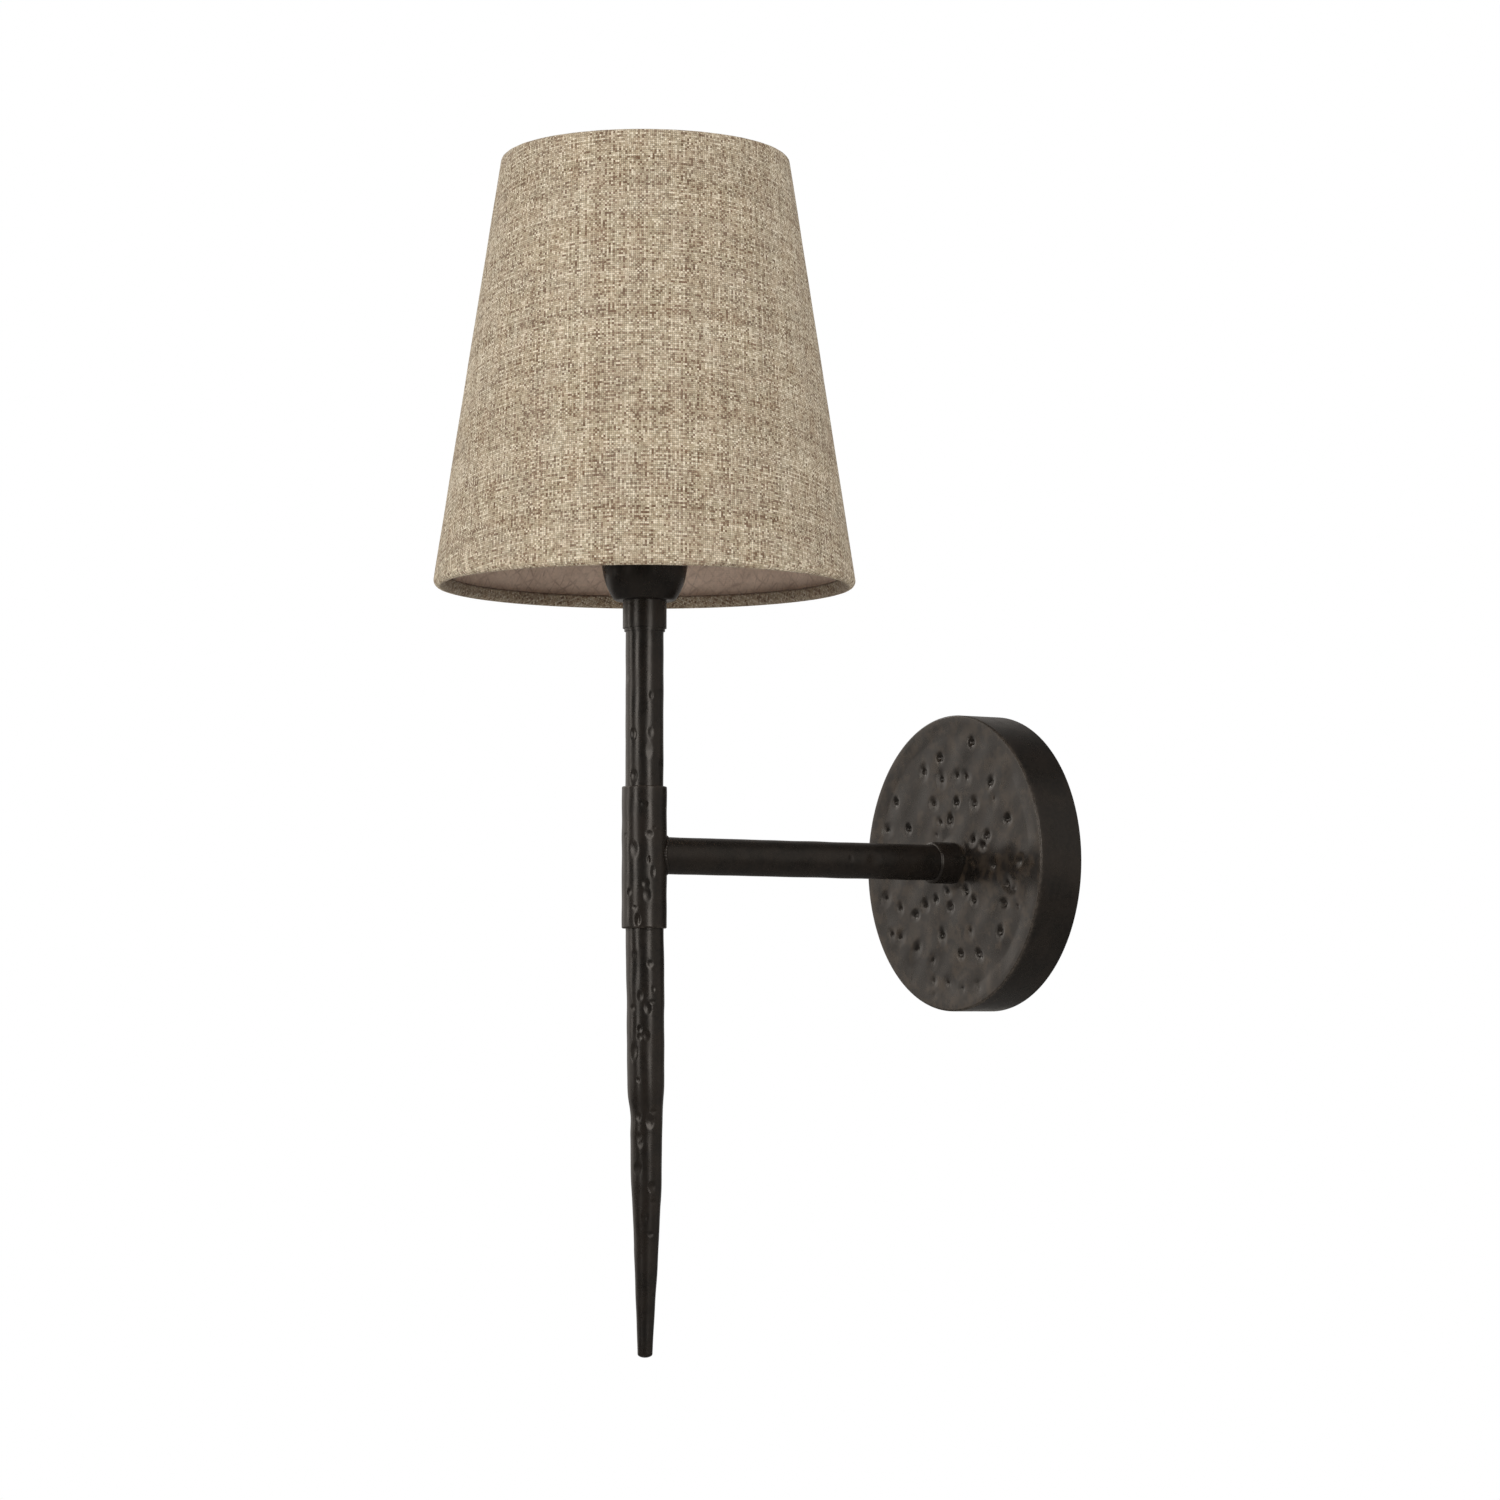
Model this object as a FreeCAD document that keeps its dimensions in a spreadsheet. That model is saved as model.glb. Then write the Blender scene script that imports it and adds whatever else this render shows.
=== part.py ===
"""A torch sconce: a wall plate, an arm, a forged torch staff, a cup, a lampholder and a linen shade.

The wall is the plane y = 0 and the light stands out towards -Y. The origin is on the wall, behind the
centre of the plate, on the arm's axis. Sizes are in millimetres and live on the sheet "dims".
"""
import FreeCAD, Part
import math
import os
import re
import Sketcher
from FreeCAD import Placement, Rotation, Vector

SIZES = {
    # fits
    "slip_gap": 0.1,
    "thread_gap": 0.05,
    "weld_gap": 0.02,
    "turn_gap": 0.3,
    "seat_gap": 0.05,
    "wrap_gap": 0.15,
    # wall plate and its bracket
    "plate_radius": 60.0,
    "plate_depth": 20.0,
    "plate_wall": 1.5,
    "plate_edge": 0.8,
    "bracket_gap": 0.3,
    "bracket_width": 22.0,
    "bracket_wall": 2.0,
    "bracket_bend": 3.0,
    "ear_depth": 14.0,
    "slot_spacing": 60.0,
    "slot_width": 4.5,
    "slot_length": 10.0,
    "cable_hole_radius": 7.0,
    "grub_radius": 2.0,
    "grub_length": 6.5,
    "grub_depth": 8.0,
    "grub_inset": 0.3,
    "hex_key": 2.0,
    "hex_depth": 2.2,
    # terminal block and earth
    "block_height": 13.0,
    "block_depth": 9.0,
    "block_drop": 10.0,
    "pole_pitch": 8.4,
    "pole_radius": 2.5,
    "pole_gap": 0.4,
    "pole_length": 11.0,
    "clamp_radius": 1.4,
    "clamp_offset": 3.2,
    "clamp_inset": 0.4,
    "fixing_radius": 1.25,
    "fixing_head": 2.4,
    "fixing_head_height": 1.4,
    "earth_height": 16.5,
    "earth_radius": 2.0,
    "earth_head": 4.0,
    "earth_head_height": 2.2,
    # leads
    "lead_radius": 1.1,
    "lead_gap": 0.4,
    "lead_entry": 4.0,
    "lead_rise": 5.0,
    "lead_step": 1.0,
    "lead_spread": 1.2,
    "lead_tail": 2.5,
    "elbow_bend": 7.0,
    # arm
    "arm_reach": 146.0,
    "arm_wall": 2.15,
    "arm_collar_wall": 1.1,
    "arm_collar_length": 10.6,
    "collar_edge": 1.0,
    "nipple_radius": 5.0,
    "nipple_wall": 1.1,
    "nipple_engagement": 12.0,
    "stem_nipple_tail": 1.0,
    "arm_nipple_tail": 6.5,
    "washer_band": 3.95,
    "washer_height": 1.2,
    "nut_wall": 1.95,
    "nut_height": 3.5,
    "bush_flange_step": 0.6,
    "bush_flange_height": 1.0,
    "bush_wall": 0.7,
    "bush_length": 5.0,
    # torch staff
    "sleeve_wall": 1.25,
    "sleeve_top": 26.5,
    "sleeve_bottom": 28.3,
    "sleeve_edge": 0.5,
    "stem_wall": 2.3,
    "elbow_half": 7.0,
    "spike_length": 192.4,
    "spike_straight": 2.0,
    "spike_shoulder": 90.0,
    "spike_shoulder_radius": 7.1,
    "spike_waist": 108.0,
    "spike_waist_radius": 6.15,
    "spike_taper": 126.0,
    "spike_taper_radius": 5.85,
    "spike_tip_radius": 2.85,
    "spike_tip_height": 1.4,
    # collar and cup
    "cup_base": 98.5,
    "collar_wall": 1.05,
    "collar_length": 10.7,
    "collar_floor": 3.0,
    "lip_wall": 0.45,
    "lip_height": 1.2,
    "cup_foot_radius": 10.6,
    "cup_corner": 2.0,
    "cup_corner_out": 1.8,
    "cup_corner_rise": 1.1,
    "cup_belly_room": 3.7,
    "cup_belly_height": 11.0,
    "cup_bulge": 0.55,
    "cup_rim_room": 5.9,
    "cup_height": 21.5,
    "cup_wall": 1.2,
    # lampholder
    "cap_wall": 1.5,
    "cap_floor": 2.0,
    "cap_height": 16.0,
    "cap_edge": 2.0,
    "body_step": 0.5,
    "core_shoulder": 1.7,
    "spigot_wall": 1.5,
    "spigot_height": 6.2,
    "flange_width": 2.6,
    "flange_height": 2.0,
    "flange_rise": 16.0,
    "skirt_wall": 6.2,
    "skirt_height": 13.0,
    "core_height": 5.0,
    "core_roof": 1.5,
    "terminal_offset": 5.5,
    "terminal_gap": 0.2,
    "terminal_screw_radius": 1.2,
    "terminal_screw_length": 2.2,
    "terminal_screw_rise": 2.0,
    "contact_radius": 1.4,
    "contact_tail": 4.0,
    "contact_head": 3.2,
    "contact_head_height": 0.6,
    "contact_height": 3.4,
    "shell_wall": 0.4,
    "shell_height": 22.0,
    # lamp
    "lamp_cap_radius": 6.9,
    "lamp_cap_wall": 0.3,
    "lamp_cap_height": 18.6,
    "lamp_tip_radius": 2.3,
    "lamp_tip_height": 0.9,
    "lamp_cone_radius": 3.3,
    "lamp_cone_height": 2.2,
    "lamp_plug": 1.0,
    "lamp_length": 100.0,
    "glass_wall": 0.8,
    "glass_seat": 11.0,
    "glass_collar": 0.5,
    "glass_flare": 9.0,
    "glass_flare_bulge": 0.7,
    "glass_neck_step": 0.3,
    "glass_shoulder_inset": 3.0,
    "glass_shoulder": 41.0,
    "glass_belly_bulge": 1.0,
    "glass_radius": 17.5,
    "glass_belly": 56.0,
    "glass_crown_bulge": 2.0,
    "glass_upper_inset": 8.0,
    "glass_upper": 86.0,
    "glass_peak_bulge": 0.5,
    "glass_tip_radius": 2.2,
    "mount_foot": 2.0,
    "mount_cone": 9.0,
    "mount_neck_radius": 2.2,
    "mount_top": 42.0,
    "mount_disc_radius": 4.2,
    "mount_disc_height": 1.2,
    "filament_radius": 0.8,
    "filament_length": 34.0,
    "filament_offset": 3.0,
    # shade
    "shade_lift": 5.5,
    "shade_height": 168.0,
    "shade_bottom_radius": 82.0,
    "shade_top_radius": 56.0,
    "linen": 0.7,
    "lining": 0.5,
    "hem": 2.9,
    "wire_radius": 1.5,
    "spoke_radius": 1.2,
    "spoke_shelf": 9.0,
    "spoke_bend": 3.0,
    "spoke_lap": 4.0,
    "spoke_clearance": 0.5,
    "spoke_toe": 8.0,
    "centre_ring_height": 1.2,
    "ring_nut_wall": 4.55,
    "ring_nut_height": 6.0,
    "ring_nut_edge": 0.8,
}
SPOKES = 3
FILAMENTS = 4

# Sizes and places worked out from those, each in brackets so that it can stand in any formula
STEM_Y = "(-(plate_depth + arm_reach))"
ARM_END = "(plate_depth + arm_reach)"
WIREWAY = "(nipple_radius + thread_gap)"
NIPPLE_BORE = "(nipple_radius - nipple_wall)"
ARM_RADIUS = f"({WIREWAY} + arm_wall)"
ARM_COLLAR_RADIUS = f"({ARM_RADIUS} + slip_gap + arm_collar_wall)"
STEM_RADIUS = f"({WIREWAY} + stem_wall)"
STEM_BORE = f"({STEM_RADIUS} + slip_gap)"
SLEEVE_RADIUS = f"({STEM_BORE} + sleeve_wall)"
COLLAR_RADIUS = f"({STEM_BORE} + collar_wall)"
LIP_RADIUS = f"({STEM_BORE} + lip_wall)"
BRACKET_HALF = "sqrt((plate_radius - plate_wall - bracket_gap)^2 - (bracket_width / 2)^2)"
PLATE_INNER = "(plate_depth - plate_wall)"
NUT_TOP = f"({PLATE_INNER} - washer_height - nut_height)"
POLE_BORE = "(lead_radius + pole_gap)"
LEAD_OFFSET = "(lead_radius + lead_gap)"
TERMINAL_BORE = "(lead_radius + terminal_gap)"
SHELL_INNER = "(lamp_cap_radius + turn_gap)"
SHELL_OUTER = f"({SHELL_INNER} + shell_wall)"
SHELL_SEAT = f"({SHELL_OUTER} + slip_gap)"
SPIGOT = f"({SHELL_SEAT} + core_shoulder + spigot_wall)"
CAP_INNER = f"({SPIGOT} + slip_gap)"
CAP_RADIUS = f"({CAP_INNER} + cap_wall)"
CORE_RADIUS = f"({SPIGOT} - spigot_wall - slip_gap)"
SKIRT_RADIUS = f"({SHELL_SEAT} + skirt_wall)"
RING_NUT_RADIUS = f"({SKIRT_RADIUS} + thread_gap + ring_nut_wall)"
SPOKE_TOE = f"({RING_NUT_RADIUS} + spoke_clearance)"
CENTRE_RING_RADIUS = f"({SPOKE_TOE} + spoke_lap)"
CUP_FLOOR = "(cup_base + cup_wall)"
CAP_BASE = f"({CUP_FLOOR} + nut_height)"
CAP_TOP = f"({CAP_BASE} + cap_height)"
CORE_BASE = f"({CAP_TOP} - spigot_height)"
CORE_TOP = f"({CORE_BASE} + core_height)"
FLANGE_TOP = f"({CAP_TOP} + flange_rise)"
LAMP_BASE = f"({CORE_TOP} + contact_height + seat_gap)"
LAMP_CAP = f"({LAMP_BASE} + lamp_tip_height + lamp_cone_height)"
CENTRE_RING = f"({FLANGE_TOP} + seat_gap)"
CENTRE_RING_TOP = f"({CENTRE_RING} + centre_ring_height)"
RING_NUT = f"({CENTRE_RING_TOP} + seat_gap)"
SHADE_BASE = "(cup_base + shade_lift)"
SLANT = "atan((shade_bottom_radius - shade_top_radius) / shade_height)"
SLANT_LENGTH = f"(shade_height / cos({SLANT}))"
ROLL = "(wire_radius + wrap_gap + linen)"

document = FreeCAD.newDocument("torch_sconce")
sheet = document.addObject("Spreadsheet::Sheet", "dims")
nodes = []


def fill_sheet():
    """One row of the sheet for each named size."""
    for row, (name, size) in enumerate(SIZES.items(), start=1):
        sheet.set(f"A{row}", name)
        sheet.set(f"B{row}", str(size))
        sheet.setAlias(f"B{row}", name)
    document.recompute()


def formula(text):
    """The formula with every named size read from the sheet."""
    return re.sub(r"[a-z_]+", lambda word: f"dims.{word[0]}" if word[0] in SIZES else word[0], str(text))


def value(text):
    """The number that a formula gives now."""
    return float(sheet.evalExpression(formula(text)))


def bind(thing, name, text):
    """Tie one property of an object to a formula."""
    thing.setExpression(name, formula(text))


# ---- sketches ----

def new_sketch(body, name, plane, offset="0"):
    """A sketch on one of the body's own planes, or at a distance in front of it."""
    sketch = body.newObject("Sketcher::SketchObject", name)
    support = next(item for item in body.Origin.OriginFeatures if item.Role == plane)
    sketch.AttachmentSupport = (support, "")
    sketch.MapMode = "FlatFace"
    bind(sketch, "AttachmentOffset.Base.z", offset)
    return sketch


def pin(sketch, line, end, across, up):
    """Hold one end of a line at a place given by two formulas."""
    for kind, axis, text in (("DistanceX", -2, across), ("DistanceY", -1, up)):
        if str(text) == "0":
            sketch.addConstraint(Sketcher.Constraint("PointOnObject", line, end, axis))
        else:
            index = sketch.addConstraint(Sketcher.Constraint(kind, -1, 1, line, end, value(text)))
            bind(sketch, f"Constraints[{index}]", text)


def arc_between(start, end, radius, side):
    """The arc of that radius between two points, turning left (side 1) or right (side -1)."""
    chord = end - start
    half = chord.Length / 2
    rise = max(radius * radius - half * half, 0.0) ** 0.5
    normal = Vector(-chord.y, chord.x, 0).normalize()
    centre = start + chord * 0.5 + normal * rise * side
    circle = Part.Circle(centre, Vector(0, 0, 1), radius)
    first, last = (start, end) if side > 0 else (end, start)
    return Part.ArcOfCircle(circle, circle.parameter(first), circle.parameter(last))


def bulge(start, end, rise):
    """The radius of the arc that rises that much over the chord between two corners."""
    chord = f"(({end[0]}) - ({start[0]}))^2 + (({end[1]}) - ({start[1]}))^2"
    return f"(({chord}) / (8 * {rise}) + {rise} / 2)"


def outline(body, name, corners, plane="XZ_Plane"):
    """A closed outline through corners: (across, up), or (across, up, radius, side) where an arc leaves."""
    sketch = new_sketch(body, name, plane)
    points = [Vector(value(corner[0]), value(corner[1]), 0) for corner in corners]
    ends = []
    for index, corner in enumerate(corners):
        start, end = points[index], points[(index + 1) % len(points)]
        if len(corner) == 2:
            sketch.addGeometry(Part.LineSegment(start, end))
            ends.append((1, 2))
        else:
            sketch.addGeometry(arc_between(start, end, value(corner[2]), corner[3]))
            ends.append((1, 2) if corner[3] > 0 else (2, 1))
    for index, corner in enumerate(corners):
        following = (index + 1) % len(corners)
        joint = (index, ends[index][1], following, ends[following][0])
        sketch.addConstraint(Sketcher.Constraint("Coincident", *joint))
        pin(sketch, index, ends[index][0], corner[0], corner[1])
        if len(corner) > 2:
            row = sketch.addConstraint(Sketcher.Constraint("Radius", index, value(corner[2])))
            bind(sketch, f"Constraints[{row}]", corner[2])
    return sketch


def circles(body, name, plane, centres, radius, offset="0"):
    """Equal circles about the given centres."""
    sketch = new_sketch(body, name, plane, offset)
    for index, (across, up) in enumerate(centres):
        centre = Vector(value(across), value(up), 0)
        sketch.addGeometry(Part.Circle(centre, Vector(0, 0, 1), value(radius)))
        pin(sketch, index, 3, across, up)
        row = sketch.addConstraint(Sketcher.Constraint("Radius", index, value(radius)))
        bind(sketch, f"Constraints[{row}]", radius)
    return sketch


def bent_path(body, name, points, bend, plane="XZ_Plane"):
    """An open path of straight runs joined by tangent arcs of one radius."""
    sketch = new_sketch(body, name, plane)
    places = [Vector(value(across), value(up), 0) for across, up in points]
    for start, end in zip(places, places[1:]):
        sketch.addGeometry(Part.LineSegment(start, end))
    last = len(points) - 2
    for index in range(last):
        sketch.addConstraint(Sketcher.Constraint("Coincident", index, 2, index + 1, 1))
    for index, (across, up) in enumerate(points):
        line, end = (index, 1) if index <= last else (last, 2)
        pin(sketch, line, end, across, up)
    for index in range(last):
        arc = sketch.GeometryCount
        sketch.fillet(index, 2, value(bend), True, True)
        row = sketch.addConstraint(Sketcher.Constraint("Radius", arc, value(bend)))
        bind(sketch, f"Constraints[{row}]", bend)
    return sketch


# ---- features and bodies ----

def new_body(name, turned_to_arm=False):
    """An empty body. One that is turned to the arm has its Z along the arm, away from the wall."""
    body = document.addObject("PartDesign::Body", name)
    body.Label = name
    if turned_to_arm:
        body.Placement = Placement(Vector(), Rotation(Vector(1, 0, 0), 90))
    return body


def on_stem(body):
    """Put a body on the torch staff's axis."""
    bind(body, "Placement.Base.y", STEM_Y)
    return body


def keep(thing, label=None):
    """List a finished piece under the name of its node."""
    if label:
        thing.Label = label
    nodes.append(thing)
    return thing


def revolve(body, sketch):
    feature = body.newObject("PartDesign::Revolution", sketch.Name + "_turn")
    feature.Profile = sketch
    feature.ReferenceAxis = (sketch, ["V_Axis"])
    feature.Angle = 360
    return feature


def pad(body, sketch, length, both_ways=False):
    feature = body.newObject("PartDesign::Pad", sketch.Name + "_pad")
    feature.Profile = sketch
    feature.SideType = "Symmetric" if both_ways else "One side"
    bind(feature, "Length", length)
    return feature


def cut(body, sketch, depth=None, reverse=False):
    """A pocket to a depth, or through everything both ways."""
    feature = body.newObject("PartDesign::Pocket", sketch.Name + "_cut")
    feature.Profile = sketch
    if depth is None:
        feature.SideType = "Symmetric"
        feature.Type = "ThroughAll"
    else:
        feature.Reversed = reverse
        bind(feature, "Length", depth)
    return feature


def around(body, feature, count):
    """Repeat a feature round the body's Z axis."""
    pattern = body.newObject("PartDesign::PolarPattern", feature.Name + "_pattern")
    axis = next(item for item in body.Origin.OriginFeatures if item.Role == "Z_Axis")
    pattern.Originals = [feature]
    pattern.Axis = (axis, [""])
    pattern.Angle = 360
    pattern.Occurrences = count
    body.Tip = pattern
    return pattern


def mirror(body, features, plane):
    """Repeat features on the other side of one of the body's planes."""
    copy = body.newObject("PartDesign::Mirrored", features[0].Name + "_mirror")
    support = next(item for item in body.Origin.OriginFeatures if item.Role == plane)
    copy.Originals = features
    copy.MirrorPlane = (support, [""])
    body.Tip = copy
    return copy


def turned(name, corners, turned_to_arm=False):
    """A turned piece from half of its section, given as (radius, height) corners."""
    body = new_body(name, turned_to_arm)
    revolve(body, outline(body, name + "_section", corners))
    return body


def tube_corners(bore, radius, low, high):
    """The section of a plain tube, or of a rod where the bore is 0."""
    return [(bore, low), (radius, low), (radius, high), (bore, high)]


def group(label, pieces):
    """Several equal pieces in one node."""
    compound = document.addObject("Part::Compound", label)
    compound.Links = pieces
    return keep(compound, label)


def hex_nut(name, turned_to_arm, low):
    """A hexagonal nut with a plain bore."""
    body = new_body(name, turned_to_arm)
    corner = f"({WIREWAY} + nut_wall) / cos(30)"
    ring = [(f"{corner} * cos({60 * step + 30})", f"{corner} * sin({60 * step + 30})") for step in range(6)]
    ring[1] = ("0", corner)
    ring[4] = ("0", f"-{corner}")
    sketch = outline(body, name + "_hexagon", ring, "XY_Plane")
    bind(sketch, "AttachmentOffset.Base.z", low)
    pad(body, sketch, "nut_height")
    hole = circles(body, name + "_bore", "XY_Plane", [("0", "0")], WIREWAY)
    cut(body, hole)
    return body


# ---- wall plate, bracket and wiring space ----

def make_backplate():
    """A dish, open towards the wall, with a centre hole and a screw hole at its top and bottom."""
    inner = "plate_radius - plate_wall"
    body = turned("backplate", [
        (inner, "0"),
        ("plate_radius", "0"),
        ("plate_radius", "plate_depth - plate_edge", "plate_edge", 1),
        ("plate_radius - plate_edge", "plate_depth"),
        ("nipple_radius + slip_gap", "plate_depth"),
        ("nipple_radius + slip_gap", PLATE_INNER),
        (inner, PLATE_INNER),
    ], turned_to_arm=True)
    holes = circles(body, "plate_screw_holes", "XZ_Plane", [("0", "grub_depth")], "grub_radius + slip_gap")
    cut(body, holes)
    keep(body)


def make_wall_bracket():
    """A bent strap: two slots for the wall screws, a cable hole and a tapped ear at each end."""
    body = new_body("wall_bracket")
    outer, inner = "-bracket_wall", "-(bracket_wall + bracket_bend)"
    half, within = BRACKET_HALF, f"({BRACKET_HALF} - bracket_wall)"
    curve = "bracket_wall + bracket_bend"
    side = outline(body, "bracket_side", [
        ("0", f"-({half} - ({curve}))"),
        ("0", f"{half} - ({curve})", curve, 1),
        (f"-({curve})", half),
        ("-ear_depth", half),
        ("-ear_depth", within),
        (inner, within, "bracket_bend", -1),
        (outer, f"{within} - bracket_bend"),
        (outer, f"-({within} - bracket_bend)", "bracket_bend", -1),
        (inner, f"-{within}"),
        ("-ear_depth", f"-{within}"),
        ("-ear_depth", f"-{half}"),
        (f"-({curve})", f"-{half}", curve, 1),
    ], "YZ_Plane")
    pad(body, side, "bracket_width", both_ways=True)
    cable = circles(body, "bracket_cable_hole", "XZ_Plane", [("0", "0")], "cable_hole_radius")
    cut(body, cable)
    taps = circles(body, "bracket_ear_taps", "XY_Plane", [("0", "-grub_depth")], "grub_radius + thread_gap")
    cut(body, taps)
    earth = circles(body, "bracket_earth_tap", "XZ_Plane", [("0", "earth_height")],
                    "earth_radius + thread_gap")
    cut(body, earth)
    fixing = circles(body, "bracket_fixing_tap", "XZ_Plane",
                     [("pole_pitch / 2", "-(block_drop + block_height / 2)")], "fixing_radius + thread_gap")
    cut(body, fixing)
    end, middle = "slot_width / 2", "slot_spacing / 2"
    reach = "(slot_length - slot_width) / 2"
    slot = outline(body, "bracket_slot", [
        (end, f"{middle} - {reach}"),
        (end, f"{middle} + {reach}", end, 1),
        ("0", f"{middle} + slot_length / 2", end, 1),
        (f"-{end}", f"{middle} + {reach}"),
        (f"-{end}", f"{middle} - {reach}", end, 1),
        ("0", f"{middle} - slot_length / 2", end, 1),
    ])
    mirror(body, [cut(body, slot)], "XY_Plane")
    keep(body)


def make_plate_screws():
    """Two grub screws with a hexagon socket, flush with the plate's rim, one in each ear."""
    screws = []
    for side in (1, -1):
        name = f"plate_screw_{'top' if side > 0 else 'bottom'}"
        body = turned(name, tube_corners("0", "grub_radius", "0", "grub_length"))
        corner = "hex_key / 2 / cos(30)"
        ring = [(f"{corner} * cos({60 * step})", f"{corner} * sin({60 * step})") for step in range(6)]
        ring[0] = (corner, "0")
        ring[3] = (f"-{corner}", "0")
        socket = outline(body, name + "_socket", ring, "XY_Plane")
        cut(body, socket, "hex_depth", reverse=True)
        body.Placement.Rotation = Rotation(Vector(1, 0, 0), 180 if side > 0 else 0)
        bind(body, "Placement.Base.y", "-grub_depth")
        bind(body, "Placement.Base.z", f"{side} * (plate_radius - grub_inset)")
        screws.append(body)
    group("plate_screws", screws)


def pole_places():
    """The x of each pole of the terminal block: live, earth, neutral."""
    return ("-pole_pitch", "0", "pole_pitch")


def make_terminal_block():
    """A moulded three-pole block on the bracket: brass tubes, clamp screws and one fixing screw."""
    low, high = "-(block_drop + block_height)", "-block_drop"
    middle_z = "-(block_drop + block_height / 2)"
    front = "bracket_wall + block_depth"
    axis_y = "-(bracket_wall + block_depth / 2)"
    wide = "1.5 * pole_pitch"
    body = new_body("terminal_block")
    face = outline(body, "block_face", [(f"-{wide}", low), (wide, low), (wide, high), (f"-{wide}", high)])
    bind(face, "AttachmentOffset.Base.z", "bracket_wall")
    pad(body, face, "block_depth")
    places = [(across, axis_y) for across in pole_places()]
    cut(body, circles(body, "block_bores", "XY_Plane", places, "pole_radius + slip_gap"))
    clamps = [(across, f"{middle_z} + {side} * clamp_offset") for across in pole_places() for side in (1, -1)]
    mouths = circles(body, "block_clamp_mouths", "XZ_Plane", clamps, "clamp_radius + slip_gap",
                     "bracket_wall + block_depth / 2")
    cut(body, mouths, "block_depth", reverse=True)
    fixing_place = [("pole_pitch / 2", middle_z)]
    cut(body, circles(body, "block_fixing_hole", "XZ_Plane", fixing_place, "fixing_radius + slip_gap"))
    keep(body)

    tubes, screws = [], []
    for index, across in enumerate(pole_places()):
        tube = turned(f"block_tube_{index + 1}",
                      tube_corners(POLE_BORE, "pole_radius", "-pole_length / 2", "pole_length / 2"))
        taps = circles(tube, f"block_tube_{index + 1}_taps", "XZ_Plane",
                       [("0", "clamp_offset"), ("0", "-clamp_offset")], "clamp_radius + thread_gap")
        cut(tube, taps, "block_depth", reverse=True)
        bind(tube, "Placement.Base.x", across)
        bind(tube, "Placement.Base.y", axis_y)
        bind(tube, "Placement.Base.z", middle_z)
        tubes.append(tube)
    on_lead = "bracket_wall + block_depth / 2 + lead_radius + slip_gap"
    for index, (across, up) in enumerate(clamps):
        screw = turned(f"block_screw_{index + 1}",
                       tube_corners("0", "clamp_radius", on_lead, f"{front} - clamp_inset"),
                       turned_to_arm=True)
        bind(screw, "Placement.Base.x", across)
        bind(screw, "Placement.Base.z", up)
        screws.append(screw)
    group("block_tubes", tubes)
    group("block_screws", screws)

    fixing = turned("block_fixing_screw", [
        ("0", "0"),
        ("fixing_radius", "0"),
        ("fixing_radius", front),
        ("fixing_head", front),
        ("fixing_head", f"{front} + fixing_head_height"),
        ("0", f"{front} + fixing_head_height"),
    ], turned_to_arm=True)
    bind(fixing, "Placement.Base.x", "pole_pitch / 2")
    bind(fixing, "Placement.Base.z", middle_z)
    keep(fixing)


def make_earth_screw():
    """A pan-head screw in the bracket that clamps the earth lead under its head."""
    under_head = "bracket_wall + 2 * lead_radius + seat_gap"
    body = turned("earth_screw", [
        ("0", "0"),
        ("earth_radius", "0"),
        ("earth_radius", under_head),
        ("earth_head", under_head),
        ("earth_head", f"{under_head} + earth_head_height"),
        ("0", f"{under_head} + earth_head_height"),
    ], turned_to_arm=True)
    bind(body, "Placement.Base.z", "earth_height")
    keep(body)


# ---- arm ----

def make_arm():
    """A thick tube from the plate to the sleeve, its far end hollowed to fit round the sleeve."""
    body = turned("arm", tube_corners(WIREWAY, ARM_RADIUS, "plate_depth", ARM_END), turned_to_arm=True)
    saddle = circles(body, "arm_saddle", "XZ_Plane", [("0", ARM_END)], f"{SLEEVE_RADIUS} + weld_gap")
    cut(body, saddle)
    keep(body)


def make_arm_fixings():
    """The collar, and the hollow nipple, washer, nut and bush that hold the arm on the plate."""
    bore = f"{ARM_RADIUS} + slip_gap"
    front = "plate_depth + arm_collar_length"
    collar = turned("arm_collar", [
        (bore, "plate_depth"),
        (ARM_COLLAR_RADIUS, "plate_depth"),
        (ARM_COLLAR_RADIUS, f"{front} - collar_edge", "collar_edge", 1),
        (f"{ARM_COLLAR_RADIUS} - collar_edge", front),
        (bore, front),
    ], turned_to_arm=True)
    keep(collar)
    tail = f"{PLATE_INNER} - arm_nipple_tail"
    keep(turned("arm_nipple", tube_corners(NIPPLE_BORE, "nipple_radius", tail,
                                           "plate_depth + nipple_engagement"), turned_to_arm=True))
    washer_face = f"{PLATE_INNER} - washer_height"
    keep(turned("arm_washer", tube_corners(WIREWAY, f"{WIREWAY} + washer_band", washer_face,
                                           PLATE_INNER), turned_to_arm=True))
    keep(hex_nut("arm_nut", True, NUT_TOP))
    sleeve = f"{NIPPLE_BORE} - thread_gap"
    keep(turned("nipple_bush", [
        (f"{sleeve} - bush_wall", f"{tail} - bush_flange_height"),
        ("nipple_radius + bush_flange_step", f"{tail} - bush_flange_height"),
        ("nipple_radius + bush_flange_step", tail),
        (sleeve, tail),
        (sleeve, f"{tail} + bush_length"),
        (f"{sleeve} - bush_wall", f"{tail} + bush_length"),
    ], turned_to_arm=True))


# ---- torch staff ----

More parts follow.
